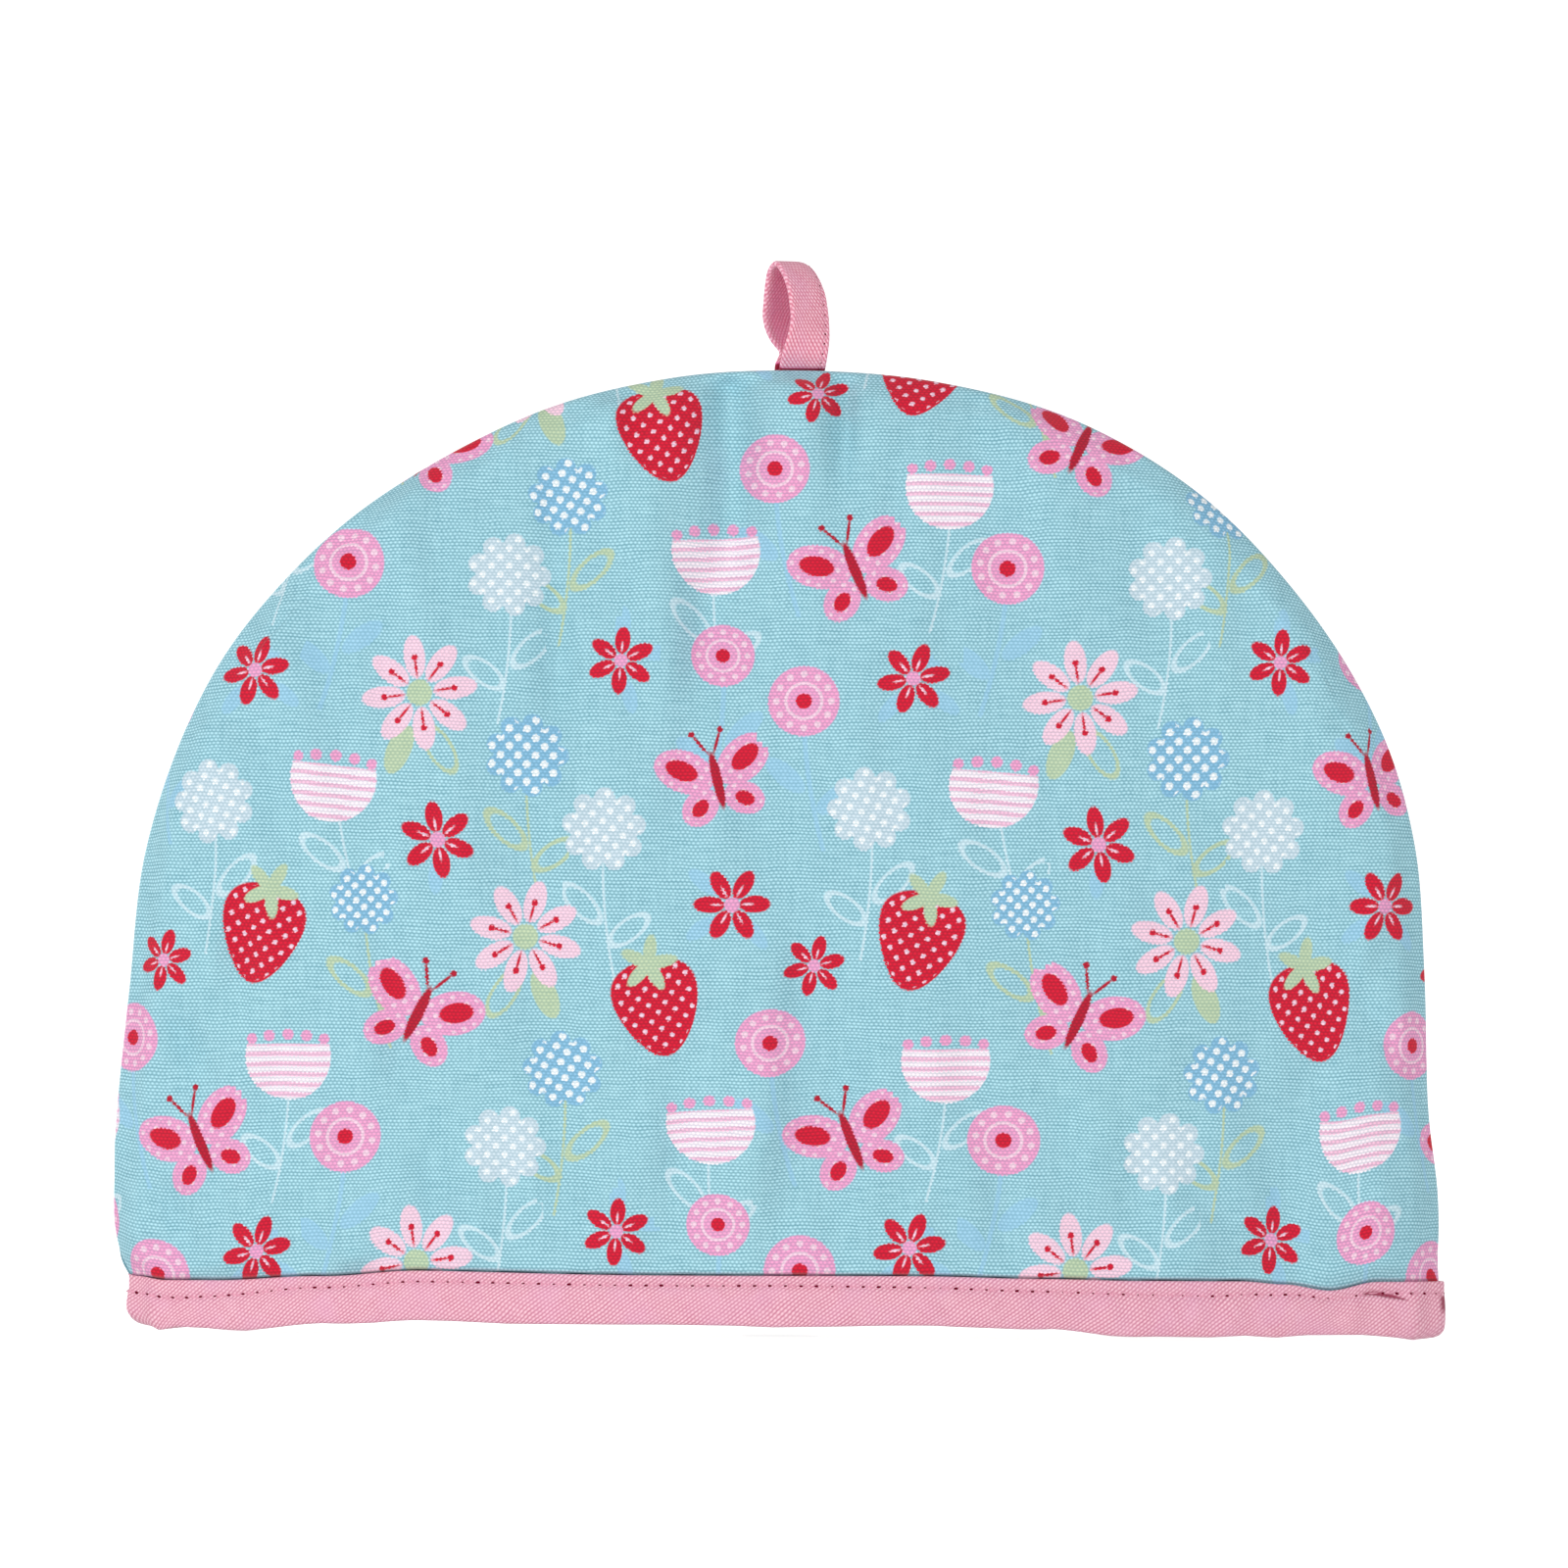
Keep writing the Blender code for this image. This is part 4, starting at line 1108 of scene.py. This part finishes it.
# The stitching below the binding's top edge. columns: x, distance down
STITCH_LINE_MM = [
    (-172, 4.2), (-153, 4.6), (-138, 3.8), (-122, 3.0), (-60, 2.7), (0, 2.6), (70, 3.3),
    (112, 3.9), (139, 2.0), (150, 2.9), (172, 3.2),
]


def read_off(table_mm, x):
    """A table's second column at x, straight from row to row."""
    table = np.array(table_mm) * MM
    return np.interp(x, table[:, 0], table[:, 1])


def unit(vectors):
    """Vectors made 1 long, where they aren't zero."""
    return vectors / np.maximum(np.linalg.norm(vectors, axis=-1, keepdims=True), 1e-12)


def ring_of(front):
    """Plan points right round: along the front from the left, and back along the back."""
    front[0, 1] = front[-1, 1] = 0.0
    return np.concatenate([front, front[-2:0:-1] * (1.0, -1.0)])


def outer_leg(z, offset):
    """Plan points at an offset outside the panels' outer skins at a height, right round the hem."""
    plan = ring_of(skins(hem_row(z, BINDING_COLUMNS)[None], "front")[0][0][:, :2].copy())
    first = unit(plan - np.roll(plan, 1, axis=0))
    second = unit(np.roll(plan, -1, axis=0) - plan)
    outward = unit(np.stack([first[:, 1] + second[:, 1], -first[:, 0] - second[:, 0]], axis=1))
    square = outward[:, 0] * first[:, 1] - outward[:, 1] * first[:, 0]
    return plan + outward * (offset / square)[:, None]


def inner_leg(z, offset):
    """Plan points at an offset inside the panels' lining, paired with those of outer_leg."""
    left, right = [float(side) for side in INNER.sides(z)]

    def depth(x, offset):
        slope = (bulge(x + MM, z, INNER) - bulge(x - MM, z, INNER)) / (2 * MM)
        return PIECE_GAP / 2 + bulge(x, z, INNER) - offset * np.hypot(1.0, slope)

    def tip(outside, inside):
        """Where the two linings meet, by halving."""
        for _ in range(40):
            middle = (outside + inside) / 2
            if depth(middle, offset.mean()) < 0:
                outside = middle
            else:
                inside = middle
        return inside

    ends = tip(left, left + NOSE_LENGTH), tip(right, right - NOSE_LENGTH)
    x = hem_row(z, BINDING_COLUMNS)[:, OUTER_X]
    first, last = x[0], x[-1]
    x = x + (ends[0] - first) * (1 - smooth(x, first, first + NOSE_LENGTH))
    x = x + (ends[1] - last) * smooth(x, last - NOSE_LENGTH, last)
    return ring_of(np.stack([x, -np.maximum(0.0, depth(x, offset[: len(x)]))], axis=1))


def stitch_height(x):
    """The stitching's height in the binding's own measure, 0 at its lower fold."""
    return BINDING_HEIGHT * (1 - read_off(STITCH_LINE_MM, x) / hem_row_values(x, "front")[1])


def corner_cut(radius, z):
    """How far a rounded corner draws a surface in, at a distance z from the surface's end."""
    return radius - math.sqrt(radius**2 - max(0.0, radius - z) ** 2)


def strip_stand(z, x, along):
    """How far the strip's outer face stands off the panel at a height, round the hem."""
    stitch = stitch_height(x)
    tip = smooth(abs(x), *TIP_REACH)
    low = corner_cut(BINDING_CORNER, z)
    high = corner_cut(BINDING_FOLD, BINDING_HEIGHT - z)
    share = np.clip((z - BINDING_CORNER) / (stitch - BINDING_CORNER), 0.0, 1.0)
    belly = BINDING_BELLY * np.sin(math.pi * share) ** BELLY_POWER
    belly *= 1 + BELLY_WAVES * waves(along, "front", BINDING_GATHERS)
    stand = PIECE_GAP + BINDING_CLOTH - low - high + belly - LEFT_TIP_TRIM * tip * (x < 0)
    furrow = FURROW * (1 - tip) * np.exp(-(((z - stitch) / FURROW_WIDTH) ** 2))
    return stand - np.minimum(furrow, BINDING_CLOTH * FURROW_MOST)


def round_hem(leg, z, offset):
    """A ring of points at a height of the binding, with the hem's arch."""
    plan = leg(z, offset)
    x = plan[:, 0]
    arch = np.where(plan[:, 1] <= 0, hem_shift(x, z, "front"), hem_shift(x, z, "back"))
    lower = (1 - smooth(z, 0.0, LOWER_FOLD_FADE)) * read_off(LOWER_FOLD_MM, x)
    tip_cut = np.where(x < 0, corner_cut(LEFT_TIP_CORNER, z), corner_cut(RIGHT_TIP_CORNER, z))
    plan[:, 0] -= np.sign(x) * smooth(abs(x), *TIP_REACH) * tip_cut
    return np.column_stack([plan, z + arch + lower])


def lap_pleat(z):
    """At a height, how deep the lap's pleat is and how much painted shade the strip has there."""
    down = (BINDING_HEIGHT - z) * hem_row_values(hem_x, "front")[1] / BINDING_HEIGHT
    pleat = mix(*PLEAT_DROP, (hem_x - PLEAT_FROM) / (PLEAT_TO - PLEAT_FROM))
    within = smooth(hem_x, PLEAT_FROM, PLEAT_FROM + PLEAT_ENDS[0])
    within *= (1 - smooth(hem_x, PLEAT_TO - PLEAT_ENDS[1], PLEAT_TO)) * hem_front
    above = np.maximum(0.0, pleat - down) / MM
    step = smooth(down, pleat + PLEAT_STEP, pleat - PLEAT_STEP)
    pocket = step * np.exp(-above / PLEAT_FADE) * within
    # Painted shade: in the gap under the pleat's edge, and in the folded end at the tip.
    gape = PLEAT_GAPE / MM * within
    gap = GAPE_SHADE * step * (1 - smooth(above, 0.6 * gape, gape + 0.15))
    gap *= smooth(within, 0.0, 0.6)
    folded_end = smooth(z, *END_LOW) * (1 - smooth(z, *END_HIGH)) * hem_front
    return PLEAT_DEPTH * pocket, np.maximum(gap, END_SHADE * folded_end * smooth(hem_x, *END_TIP))


close = np.full(2 * (BINDING_COLUMNS + 2 * ROLL) - 4, PIECE_GAP)  # one for each point of a ring
hem_plan = outer_leg(BINDING_HEIGHT / 2, close)
hem_x, hem_along, hem_front = hem_plan[:, 0], run_length(hem_plan), hem_plan[:, 1] <= 0
rings, hem_shade = [], []
for z in OUTER_HEIGHTS:
    depth, shade = lap_pleat(z)
    stand = np.maximum(strip_stand(z, hem_x, hem_along) - depth, BINDING_LEAST)
    rings.append(round_hem(outer_leg, z, stand))
    hem_shade.append(shade)
for leg, heights in ((outer_leg, HIDDEN_HEIGHTS), (inner_leg, HIDDEN_HEIGHTS[::-1])):
    for z in heights:
        rings.append(round_hem(leg, z, close + (BINDING_FOLD if z == BINDING_HEIGHT else 0.0)))
for z in INNER_HEIGHTS:
    rings.append(round_hem(inner_leg, z, strip_stand(z, hem_x, hem_along)))
rings = np.stack(rings + rings[:1])
rings = np.concatenate([rings, rings[:, :1]], axis=1)
round_strip = run_length(rings.transpose(1, 0, 2)).mean(axis=0)
strip_cloth = cloth_grid(np.append(hem_along, hem_along[-1] + MM), round_strip[:, None])
binding = make_mesh("bound_hem", [(rings, strip_cloth, 0)])[0]
hem_shade = np.pad(np.stack(hem_shade), ((0, len(rings) - len(OUTER_HEIGHTS)), (0, 1)))
store(binding, "shade", hem_shade.ravel())
weld(binding)


def make_pink_cloth(name, dyes_and_shade, turn, weft, **woven):
    """Pink canvas woven at a turn to the piece's length; its last colour is painted shade."""
    finish, ink, shader = new_finish(name, 0.86, 0.15)
    cloth = cloth_place(ink)
    raised = weave(ink, cloth.turned(turn), CANVAS_WARP, weft, **woven)
    mottle = noise(ink, cloth, MOTTLE_LUMPS, 2.0)
    light, dark, deep = [dye(*values) for values in dyes_and_shade]
    # Sunken threads darker and raised ones lighter: partly the cloth's own tone, partly painted
    # shade and highlight.
    colour = raised.between(dark, light)
    colour = colour.paint((mottle - 0.45) * MOTTLE, MOTTLE_DYE)
    # Painted shade laid on by the stored shade: the last colour up to 1, and past 1 the dark red
    # where the canvas goes down into a seam.
    shade = ink.value("shade")
    colour = colour.paint(shade, deep).paint(shade - 1.0, PAINTED_SEAM_SHADE)
    finish_cloth(shader, colour, raised, *CANVAS_RELIEF)
    return finish


# Its last colour is the painted shade in the pleat's gap and the folded end.
binding.data.materials.append(make_pink_cloth(
    "pink_bias_canvas", [(249, 202, 215), (198, 112, 140), (140, 24, 62)], BIAS, BIAS_WEAVE,
    checker=0.24, ribs=0.36, slub=0.28,
))
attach(binding, "root")
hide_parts("hem_binding")

# Topstitching. Pink cotton thread sewn by machine along the binding's edge through every layer,
# so that it shows outside and inside: a row of short raised stitches and, where they meet, the
# needle's holes, which look dark because the thread pulls them open. Each hole's dark is painted
# shade, drawn as a flat dark bead.
STITCH_PITCH = 3.95 * MM
STITCH_SIZE = (3.0 * MM, 0.42 * MM, 0.42 * MM)  # along the row, across it and off the cloth
STITCH_UNEVEN = 0.15  # how far their sizes vary
HOLE_SIZE, HOLE_UNEVEN = (1.05 * MM, 0.6 * MM, 0.3 * MM), 0.35  # the same for the holes


def group_input(tree, name, kind, value):
    """A named input of a geometry tree with its value to start with; gives its identifier."""
    socket = tree.interface.new_socket(name=name, in_out="INPUT", socket_type=kind)
    if value is not None:
        socket.default_value = value
    return socket.identifier


def stitch_tree():
    """Beads laid at an even pitch along a path, lengthwise to it and flat on the cloth.

    Inputs: the path, its pitch and offset, the bead's size, its unevenness with a seed, and its
    finish. The path's points carry the cloth's outward direction.
    """
    tree = bpy.data.node_groups.new("row_of_stitches", "GeometryNodeTree")
    tree.interface.new_socket(name="Geometry", in_out="INPUT", socket_type="NodeSocketGeometry")
    tree.interface.new_socket(name="Geometry", in_out="OUTPUT", socket_type="NodeSocketGeometry")
    names = {
        name: group_input(tree, name, "NodeSocket" + kind, value)
        for name, kind, value in (
            ("Pitch", "Float", STITCH_PITCH),
            ("Start", "Float", 0.0),
            ("Size", "Vector", STITCH_SIZE),
            ("Unevenness", "Float", STITCH_UNEVEN),
            ("Seed", "Int", 3),
            ("Finish", "Material", None),
        )
    }
    ink, entry = Ink(tree), tree.nodes.new("NodeGroupInput")
    given = {socket.name: Ink(tree, socket) for socket in entry.outputs}
    curve = ink.add("GeometryNodeMeshToCurve", None, {"Mesh": given["Geometry"]})
    end = ink.add("GeometryNodeCurveLength", None, {"Curve": curve})
    trimmed = {0: curve, 4: given["Start"], 5: end}
    curve = ink.add("GeometryNodeTrimCurve", {"mode": "LENGTH"}, trimmed)
    spaced = {"Curve": curve, "Length": given["Pitch"]}
    points = ink.add("GeometryNodeResampleCurve", {"mode": "LENGTH"}, spaced)
    tangent = ink.add("GeometryNodeInputTangent")
    vector = {"data_type": "FLOAT_VECTOR"}
    outward = ink.add("GeometryNodeInputNamedAttribute", vector, {"Name": "outward"})
    axes = {"primary_axis": "X", "secondary_axis": "Z"}
    turn = ink.add("FunctionNodeAxesToRotation", axes, {0: tangent, 1: outward})
    limits = {2: 1.0 - given["Unevenness"], 3: 1.0 + given["Unevenness"], 8: given["Seed"]}
    scale = ink.add("FunctionNodeRandomValue", {"data_type": "FLOAT"}, limits, 1)
    bead = ink.add("GeometryNodeMeshUVSphere", None, {"Segments": 8, "Rings": 5, "Radius": 0.5})
    bead = ink.add("GeometryNodeTransform", None, {"Geometry": bead, "Scale": given["Size"]})
    placed = {"Points": points, "Instance": bead, "Rotation": turn, "Scale": scale}
    row = ink.add("GeometryNodeInstanceOnPoints", None, placed)
    row = ink.add("GeometryNodeSetShadeSmooth", None, {"Geometry": row})
    row = ink.add("GeometryNodeRealizeInstances", None, {"Geometry": row})
    finished = {"Geometry": row, "Material": given["Finish"]}
    row = ink.add("GeometryNodeSetMaterial", None, finished)
    row.feeds(tree.nodes.new("NodeGroupOutput").inputs["Geometry"])
    return tree, names


STITCH_TREE, STITCH_INPUTS = stitch_tree()


def sew(name, paths, finish, **values):
    """A row of beads along each path of (points, outward directions), made a plain mesh."""
    points, directions = [np.concatenate(parts) for parts in zip(*paths)]
    ends = np.cumsum([len(path) for path, outward in paths])
    edges = [(i, i + 1) for i in range(len(points) - 1) if i + 1 not in ends]
    data = bpy.data.meshes.new(name)
    data.from_pydata(points, edges, [])
    outward = data.attributes.new("outward", "FLOAT_VECTOR", "POINT")
    outward.data.foreach_set("vector", directions.ravel())
    row = add_object(name, data)
    sewing = row.modifiers.new("sewing", "NODES")
    sewing.node_group = STITCH_TREE
    for key, value in {"Finish": finish, **values}.items():
        sewing[STITCH_INPUTS[key]] = value
    sewn = row.evaluated_get(bpy.context.evaluated_depsgraph_get())
    row.data = bpy.data.meshes.new_from_object(sewn)
    row.modifiers.clear()
    return row


def on_strip(heights, first):
    """The path of the stitching over the strip's rings at these heights, from the first ring."""
    order = np.argsort(heights)
    row = first + np.interp(stitch_height(hem_x), heights[order], order)
    low, column = row.astype(int), np.arange(len(hem_x))
    path = mix(rings[low, column], rings[low + 1, column], (row - low)[:, None])
    beside = np.roll(path, -1, axis=0) - np.roll(path, 1, axis=0)
    outward = unit(np.stack([beside[:, 1], -beside[:, 0], np.zeros(len(path))], axis=1))
    return path, outward if first == 0 else -outward


inner_rings = len(OUTER_HEIGHTS) + 2 * len(HIDDEN_HEIGHTS)
hem_paths = [on_strip(OUTER_HEIGHTS, 0), on_strip(INNER_HEIGHTS, inner_rings)]
pink_thread = make_thread("pink_thread", dye(238, 170, 192))
# Painted shade: the needle holes are flat dark beads.
hole_shade = make_thread("needle_hole_shade", dye(112, 8, 38), 0.0)
hem_stitches = sew("hem_topstitching", hem_paths, pink_thread, Start=STITCH_PITCH / 2)
hem_hole_shade = sew(
    "hem_needle_hole_shade", hem_paths, hole_shade, Size=HOLE_SIZE, Unevenness=HOLE_UNEVEN, Seed=5
)
for row in (hem_stitches, hem_hole_shade):
    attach(row, "root")

# Hanging loop. A tape of the pink canvas, folded with its edges in and stitched along one of them,
# then bent over with both ends caught in the seam at the top of the dome. It stands up and its
# free part turns to the right.
TAPE_CORNER = 0.75 * MM  # radius of the tape's edges
LOOP_PATH_MM = [
    (0.9, -4.6), (0.95, 0.0), (3.1, 1.9), (5.0, 4.6), (5.6, 8.2), (5.0, 12.4), (4.2, 16.6),
    (3.2, 20.6), (1.0, 24.6), (-2.3, 27.4), (-5.0, 25.8), (-6.2, 22.0), (-6.8, 17.6),
    (-7.1, 13.8), (-6.2, 10.4), (-4.0, 7.2), (-1.8, 3.8), (-0.95, 0.0), (-0.9, -4.6),
]
LOOP_STEPS = 10  # to each stretch of its path
LOOP_TURNS = np.radians([8.0, 38.0])  # from its foot to its top, and the height this takes
LOOP_TURN_HEIGHT = 15.0 * MM
LOOP_DROOP, DROOP_HEIGHTS = 1.9 * MM, (14.0 * MM, 26.0 * MM)  # the right edge sags at the top
LOOP_STEP = 0.9 * MM  # the front end is held this much further right than the back one
STEP_RISE, STEP_FADE = (-1.0 * MM, 0.4 * MM), (0.4 * MM, 11.0 * MM)  # heights
LOOP_PINCH = 1.5 * MM  # the back end's left edge is drawn in above the seam
PINCH_HEIGHT, PINCH_REACH = 4.7 * MM, 2.2 * MM
LOOP_STITCH_IN = 1.5 * MM  # from the tape's edge to its stitching, which pulls it in
TAPE_FURROW, TAPE_FURROW_WIDTH = 0.2 * MM, 0.4 * MM
FOOT_SHADE = (6.1 * MM, 6.8 * MM)  # where the tape comes up out of the seam, painted in shade
INNER_SHADE = 0.3  # painted shade and bounce light: how much of the stronger pink the inner face takes
INNER_EDGE, INNER_RISE = (0.9 * MM, 2.2 * MM), (0.0, 3.0 * MM)  # from its edges and the seam
LOOP_BIAS, LOOP_WEAVE = -54.0, 0.8  # degrees from the tape's length, mm between weft threads
LOOP_STITCH_PITCH = 2.6 * MM
LOOP_STITCH_SINK = 0.15 * MM  # how far below the tape's faces the stitches' middles lie
LOOP_STITCH_SIZE = (1.9 * MM, 0.36 * MM, 0.36 * MM)
LOOP_HOLE_SIZE, LOOP_HOLE_UNEVEN = (0.5 * MM, 0.4 * MM, 0.16 * MM), 0.3

loop_path = smooth_curve(LOOP_PATH_MM, LOOP_STEPS)
loop_out, loop_height = loop_path.T
loop_along, loop_length = tangents(loop_path), run_length(loop_path)
loop_turns = mix(*LOOP_TURNS, smooth(loop_height, 0.0, LOOP_TURN_HEIGHT))
level = np.zeros(len(loop_path))
width_axis = np.stack([np.cos(loop_turns), np.sin(loop_turns), level], axis=1)
across_axis = np.stack([np.sin(loop_turns), -np.cos(loop_turns), level], axis=1)
face_axis = across_axis * loop_along[:, 1:] - np.stack([level, level, loop_along[:, 0]], axis=1)
loop_middle = np.stack([level + LOOP_X, level, OUTER.top + loop_height], axis=1)
loop_middle += across_axis * loop_path[:, :1]
loop_step = LOOP_STEP * (loop_out > 0) * smooth(loop_height, *STEP_RISE)
loop_step *= 1 - smooth(loop_height, *STEP_FADE)
loop_pinch = np.exp(-(((loop_height - PINCH_HEIGHT) / PINCH_REACH) ** 2))
loop_pinch *= LOOP_PINCH * (loop_out <= 0)
loop_droop = smooth(loop_height, *DROOP_HEIGHTS) * LOOP_DROOP

# The tape's section: places across it, and half its thickness there.
stitch_at = TAPE_WIDTH / 2 - LOOP_STITCH_IN
tape_edge = TAPE_WIDTH / 2 - TAPE_CORNER * (1 - np.cos(np.linspace(math.pi / 2, 0, 5)))
tape_across = np.concatenate([
    -tape_edge[::-1],
    np.linspace(-4.6, 2.8, 8) * MM,
    stitch_at + np.array([-1.0, -0.6, -0.3, 0.0, 0.3, 0.6]) * MM,
    tape_edge,
])
in_edge = np.clip((abs(tape_across) - TAPE_WIDTH / 2 + TAPE_CORNER) / TAPE_CORNER, 0.0, 1.0)
thick = TAPE_CLOTH / 2 * np.sqrt(1 - in_edge**2)
thick -= TAPE_FURROW * np.exp(-(((tape_across - stitch_at) / TAPE_FURROW_WIDTH) ** 2))


def on_tape(across, through):
    """Points at places across and through the tape, a row for each point of the loop's path."""
    share = 2 * across / TAPE_WIDTH
    points = loop_middle[:, None] + width_axis[:, None] * across[:, None]
    points = points + face_axis[:, None] * through[:, None]
    points[..., 0] += loop_step[:, None] + loop_pinch[:, None] * np.clip(-share, 0.0, 1.0)
    points[..., 2] -= loop_droop[:, None] * np.clip(share, 0.0, 1.0) ** 3
    return points


round_tape = np.concatenate([tape_across, tape_across[::-1], tape_across[:1]])
tape = on_tape(round_tape, np.concatenate([thick, -thick[::-1], thick[:1]]))
round_tape[-1] -= MM
tape_cloth = cloth_grid(round_tape, loop_length[:, None])
half = len(tape_across)
tape_grids = [(tape, tape_cloth, 0)]
for end in (0, -1):
    faces = np.stack([tape[end, :half], tape[end, 2 * half - 1 : half - 1 : -1]])
    tape_grids.append((faces, np.stack([tape_cloth[end, :half]] * 2), 0))
loop = make_mesh("tape_loop", tape_grids)[0]
# Painted shade stored as shade: past 1 at the foot, where the tape goes down into the seam, and up
# to INNER_SHADE on the inner face.
foot = 1 - smooth(np.minimum(loop_length, loop_length[-1] - loop_length), *FOOT_SHADE)
inner = smooth(TAPE_WIDTH / 2 - abs(round_tape), *INNER_EDGE) * (np.arange(2 * half + 1) >= half)
inner = INNER_SHADE * inner * smooth(loop_height, *INNER_RISE)[:, None]
loop_shade = np.maximum(2 * foot[:, None], inner).ravel()
store(loop, "shade", np.pad(loop_shade, (0, 4 * half)))
weld(loop)
# Its last colour, a stronger pink, is the painted shade and bounce light of the inner face.
loop.data.materials.append(make_pink_cloth(
    "pink_tape_canvas", [(255, 206, 220), (206, 90, 121), (255, 128, 186)], LOOP_BIAS, LOOP_WEAVE,
    checker=0.3, ribs=0.34, slub=0.3,
))
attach(loop, "root")
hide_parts("hanging_loop")

loop_paths = []
for face in (1.0, -1.0):
    through = (TAPE_CLOTH / 2 - LOOP_STITCH_SINK) * face
    loop_paths.append((on_tape(np.array([stitch_at]), np.array([through]))[:, 0], face_axis * face))
loop_stitches = sew(
    "loop_topstitching", loop_paths, pink_thread,
    Pitch=LOOP_STITCH_PITCH, Start=LOOP_STITCH_PITCH / 2, Size=LOOP_STITCH_SIZE, Seed=7,
)
loop_hole_shade = sew(
    "loop_needle_hole_shade", loop_paths, hole_shade,
    Pitch=LOOP_STITCH_PITCH, Size=LOOP_HOLE_SIZE, Unevenness=LOOP_HOLE_UNEVEN, Seed=8,
)
for row in (loop_stitches, loop_hole_shade):
    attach(row, "root")

# The stage. The cosy stands on a plain pale floor that curves up all round it, in soft light
# from the left, and the camera looks at it square on from far off.
FLOOR_REACH, SWEEP, WALL_TOP = 8.0, 1.5, 5.0
FLOOR_SIDES, FLOOR_MIDDLE, SWEEP_POINTS = 96, 0.01, 13
PAPER_GREY, PAPER_GLOW, SKY_STRENGTH = 0.42, 0.93, 0.55
# columns: name, place, size, power
LIGHTS = (
    ("key_light", (-2.3, -2.5, 0.4), 1.0, 47.3),
    ("fill_light", (1.9, -2.8, 0.05), 1.4, 36.5),
    ("side_light", (-3.3, 0.15, 0.5), 1.0, 11.0),
    ("back_light", (-1.7, 3.0, 0.9), 1.6, 68.0),
)
LIGHTS_AIM = (0.0, 0.0, 0.12)
SENSOR = 36.0  # mm
CAMERA_AWAY, CAMERA_ROLL = 5.0, -0.44  # the roll in degrees
FRAME_WIDTH, FRAME_MIDDLE = 0.4035, (-0.0001, 0.1420)  # what the camera takes in, at the cosy

bend = np.linspace(0, math.pi / 2, SWEEP_POINTS)
floor_out = FLOOR_REACH + SWEEP * np.sin(bend)
floor_out = np.concatenate([[FLOOR_MIDDLE], floor_out, [FLOOR_REACH + SWEEP]])
floor_up = np.concatenate([[0.0], SWEEP * (1 - np.cos(bend)), [WALL_TOP]])
round_floor = np.linspace(0, 2 * math.pi, FLOOR_SIDES + 1)[:-1, None]
floor_x, floor_y = np.cos(round_floor) * floor_out, np.sin(round_floor) * floor_out
floor_points = np.stack(np.broadcast_arrays(floor_x, floor_y, floor_up), axis=-1).reshape(-1, 3)
floor_quads = grid_faces(FLOOR_SIDES + 1, len(floor_up), 0) % len(floor_points)
floor_middle = list(range(0, len(floor_points), len(floor_up)))
sweep = bpy.data.meshes.new("sweep")
sweep.from_pydata(floor_points, [], floor_quads[:, ::-1].tolist() + [floor_middle])
sweep.shade_smooth()
backdrop = add_object("backdrop", sweep)
paper, ink, shader = new_finish("pale_paper", 0.9)
shader.inputs["Base Color"].default_value = (PAPER_GREY, PAPER_GREY, PAPER_GREY, 1.0)
shader.inputs["Emission Color"].default_value = (1.0, 1.0, 1.0, 1.0)
shader.inputs["Emission Strength"].default_value = PAPER_GLOW
backdrop.data.materials.append(paper)
backdrop.visible_diffuse = backdrop.visible_shadow = False

world = bpy.data.worlds.new("soft_sky")
world.use_nodes = True
sky = world.node_tree.nodes["Background"]
sky.inputs["Color"].default_value = (1.0, 1.0, 1.0, 1.0)
sky.inputs["Strength"].default_value = SKY_STRENGTH
bpy.context.scene.world = world

for name, place, size, power in LIGHTS:
    light = bpy.data.lights.new(name, "AREA")
    light.size, light.energy = size, power
    lamp = add_object(name, light)
    lamp.location = place
    x, y, z = np.array(LIGHTS_AIM) - place
    climb = math.atan2(-z, math.hypot(x, y))
    lamp.rotation_euler = (math.pi / 2 - climb, 0.0, -math.atan2(x, y))

camera_data = bpy.data.cameras.new("camera")
camera_data.sensor_width = SENSOR
camera_data.lens = SENSOR * CAMERA_AWAY / FRAME_WIDTH
camera = add_object("camera", camera_data)
camera.location = (FRAME_MIDDLE[0], -CAMERA_AWAY, FRAME_MIDDLE[1])
camera.rotation_euler = (math.pi / 2, math.radians(CAMERA_ROLL), 0.0)
bpy.context.scene.camera = camera
bpy.context.scene.view_settings.view_transform = "Standard"
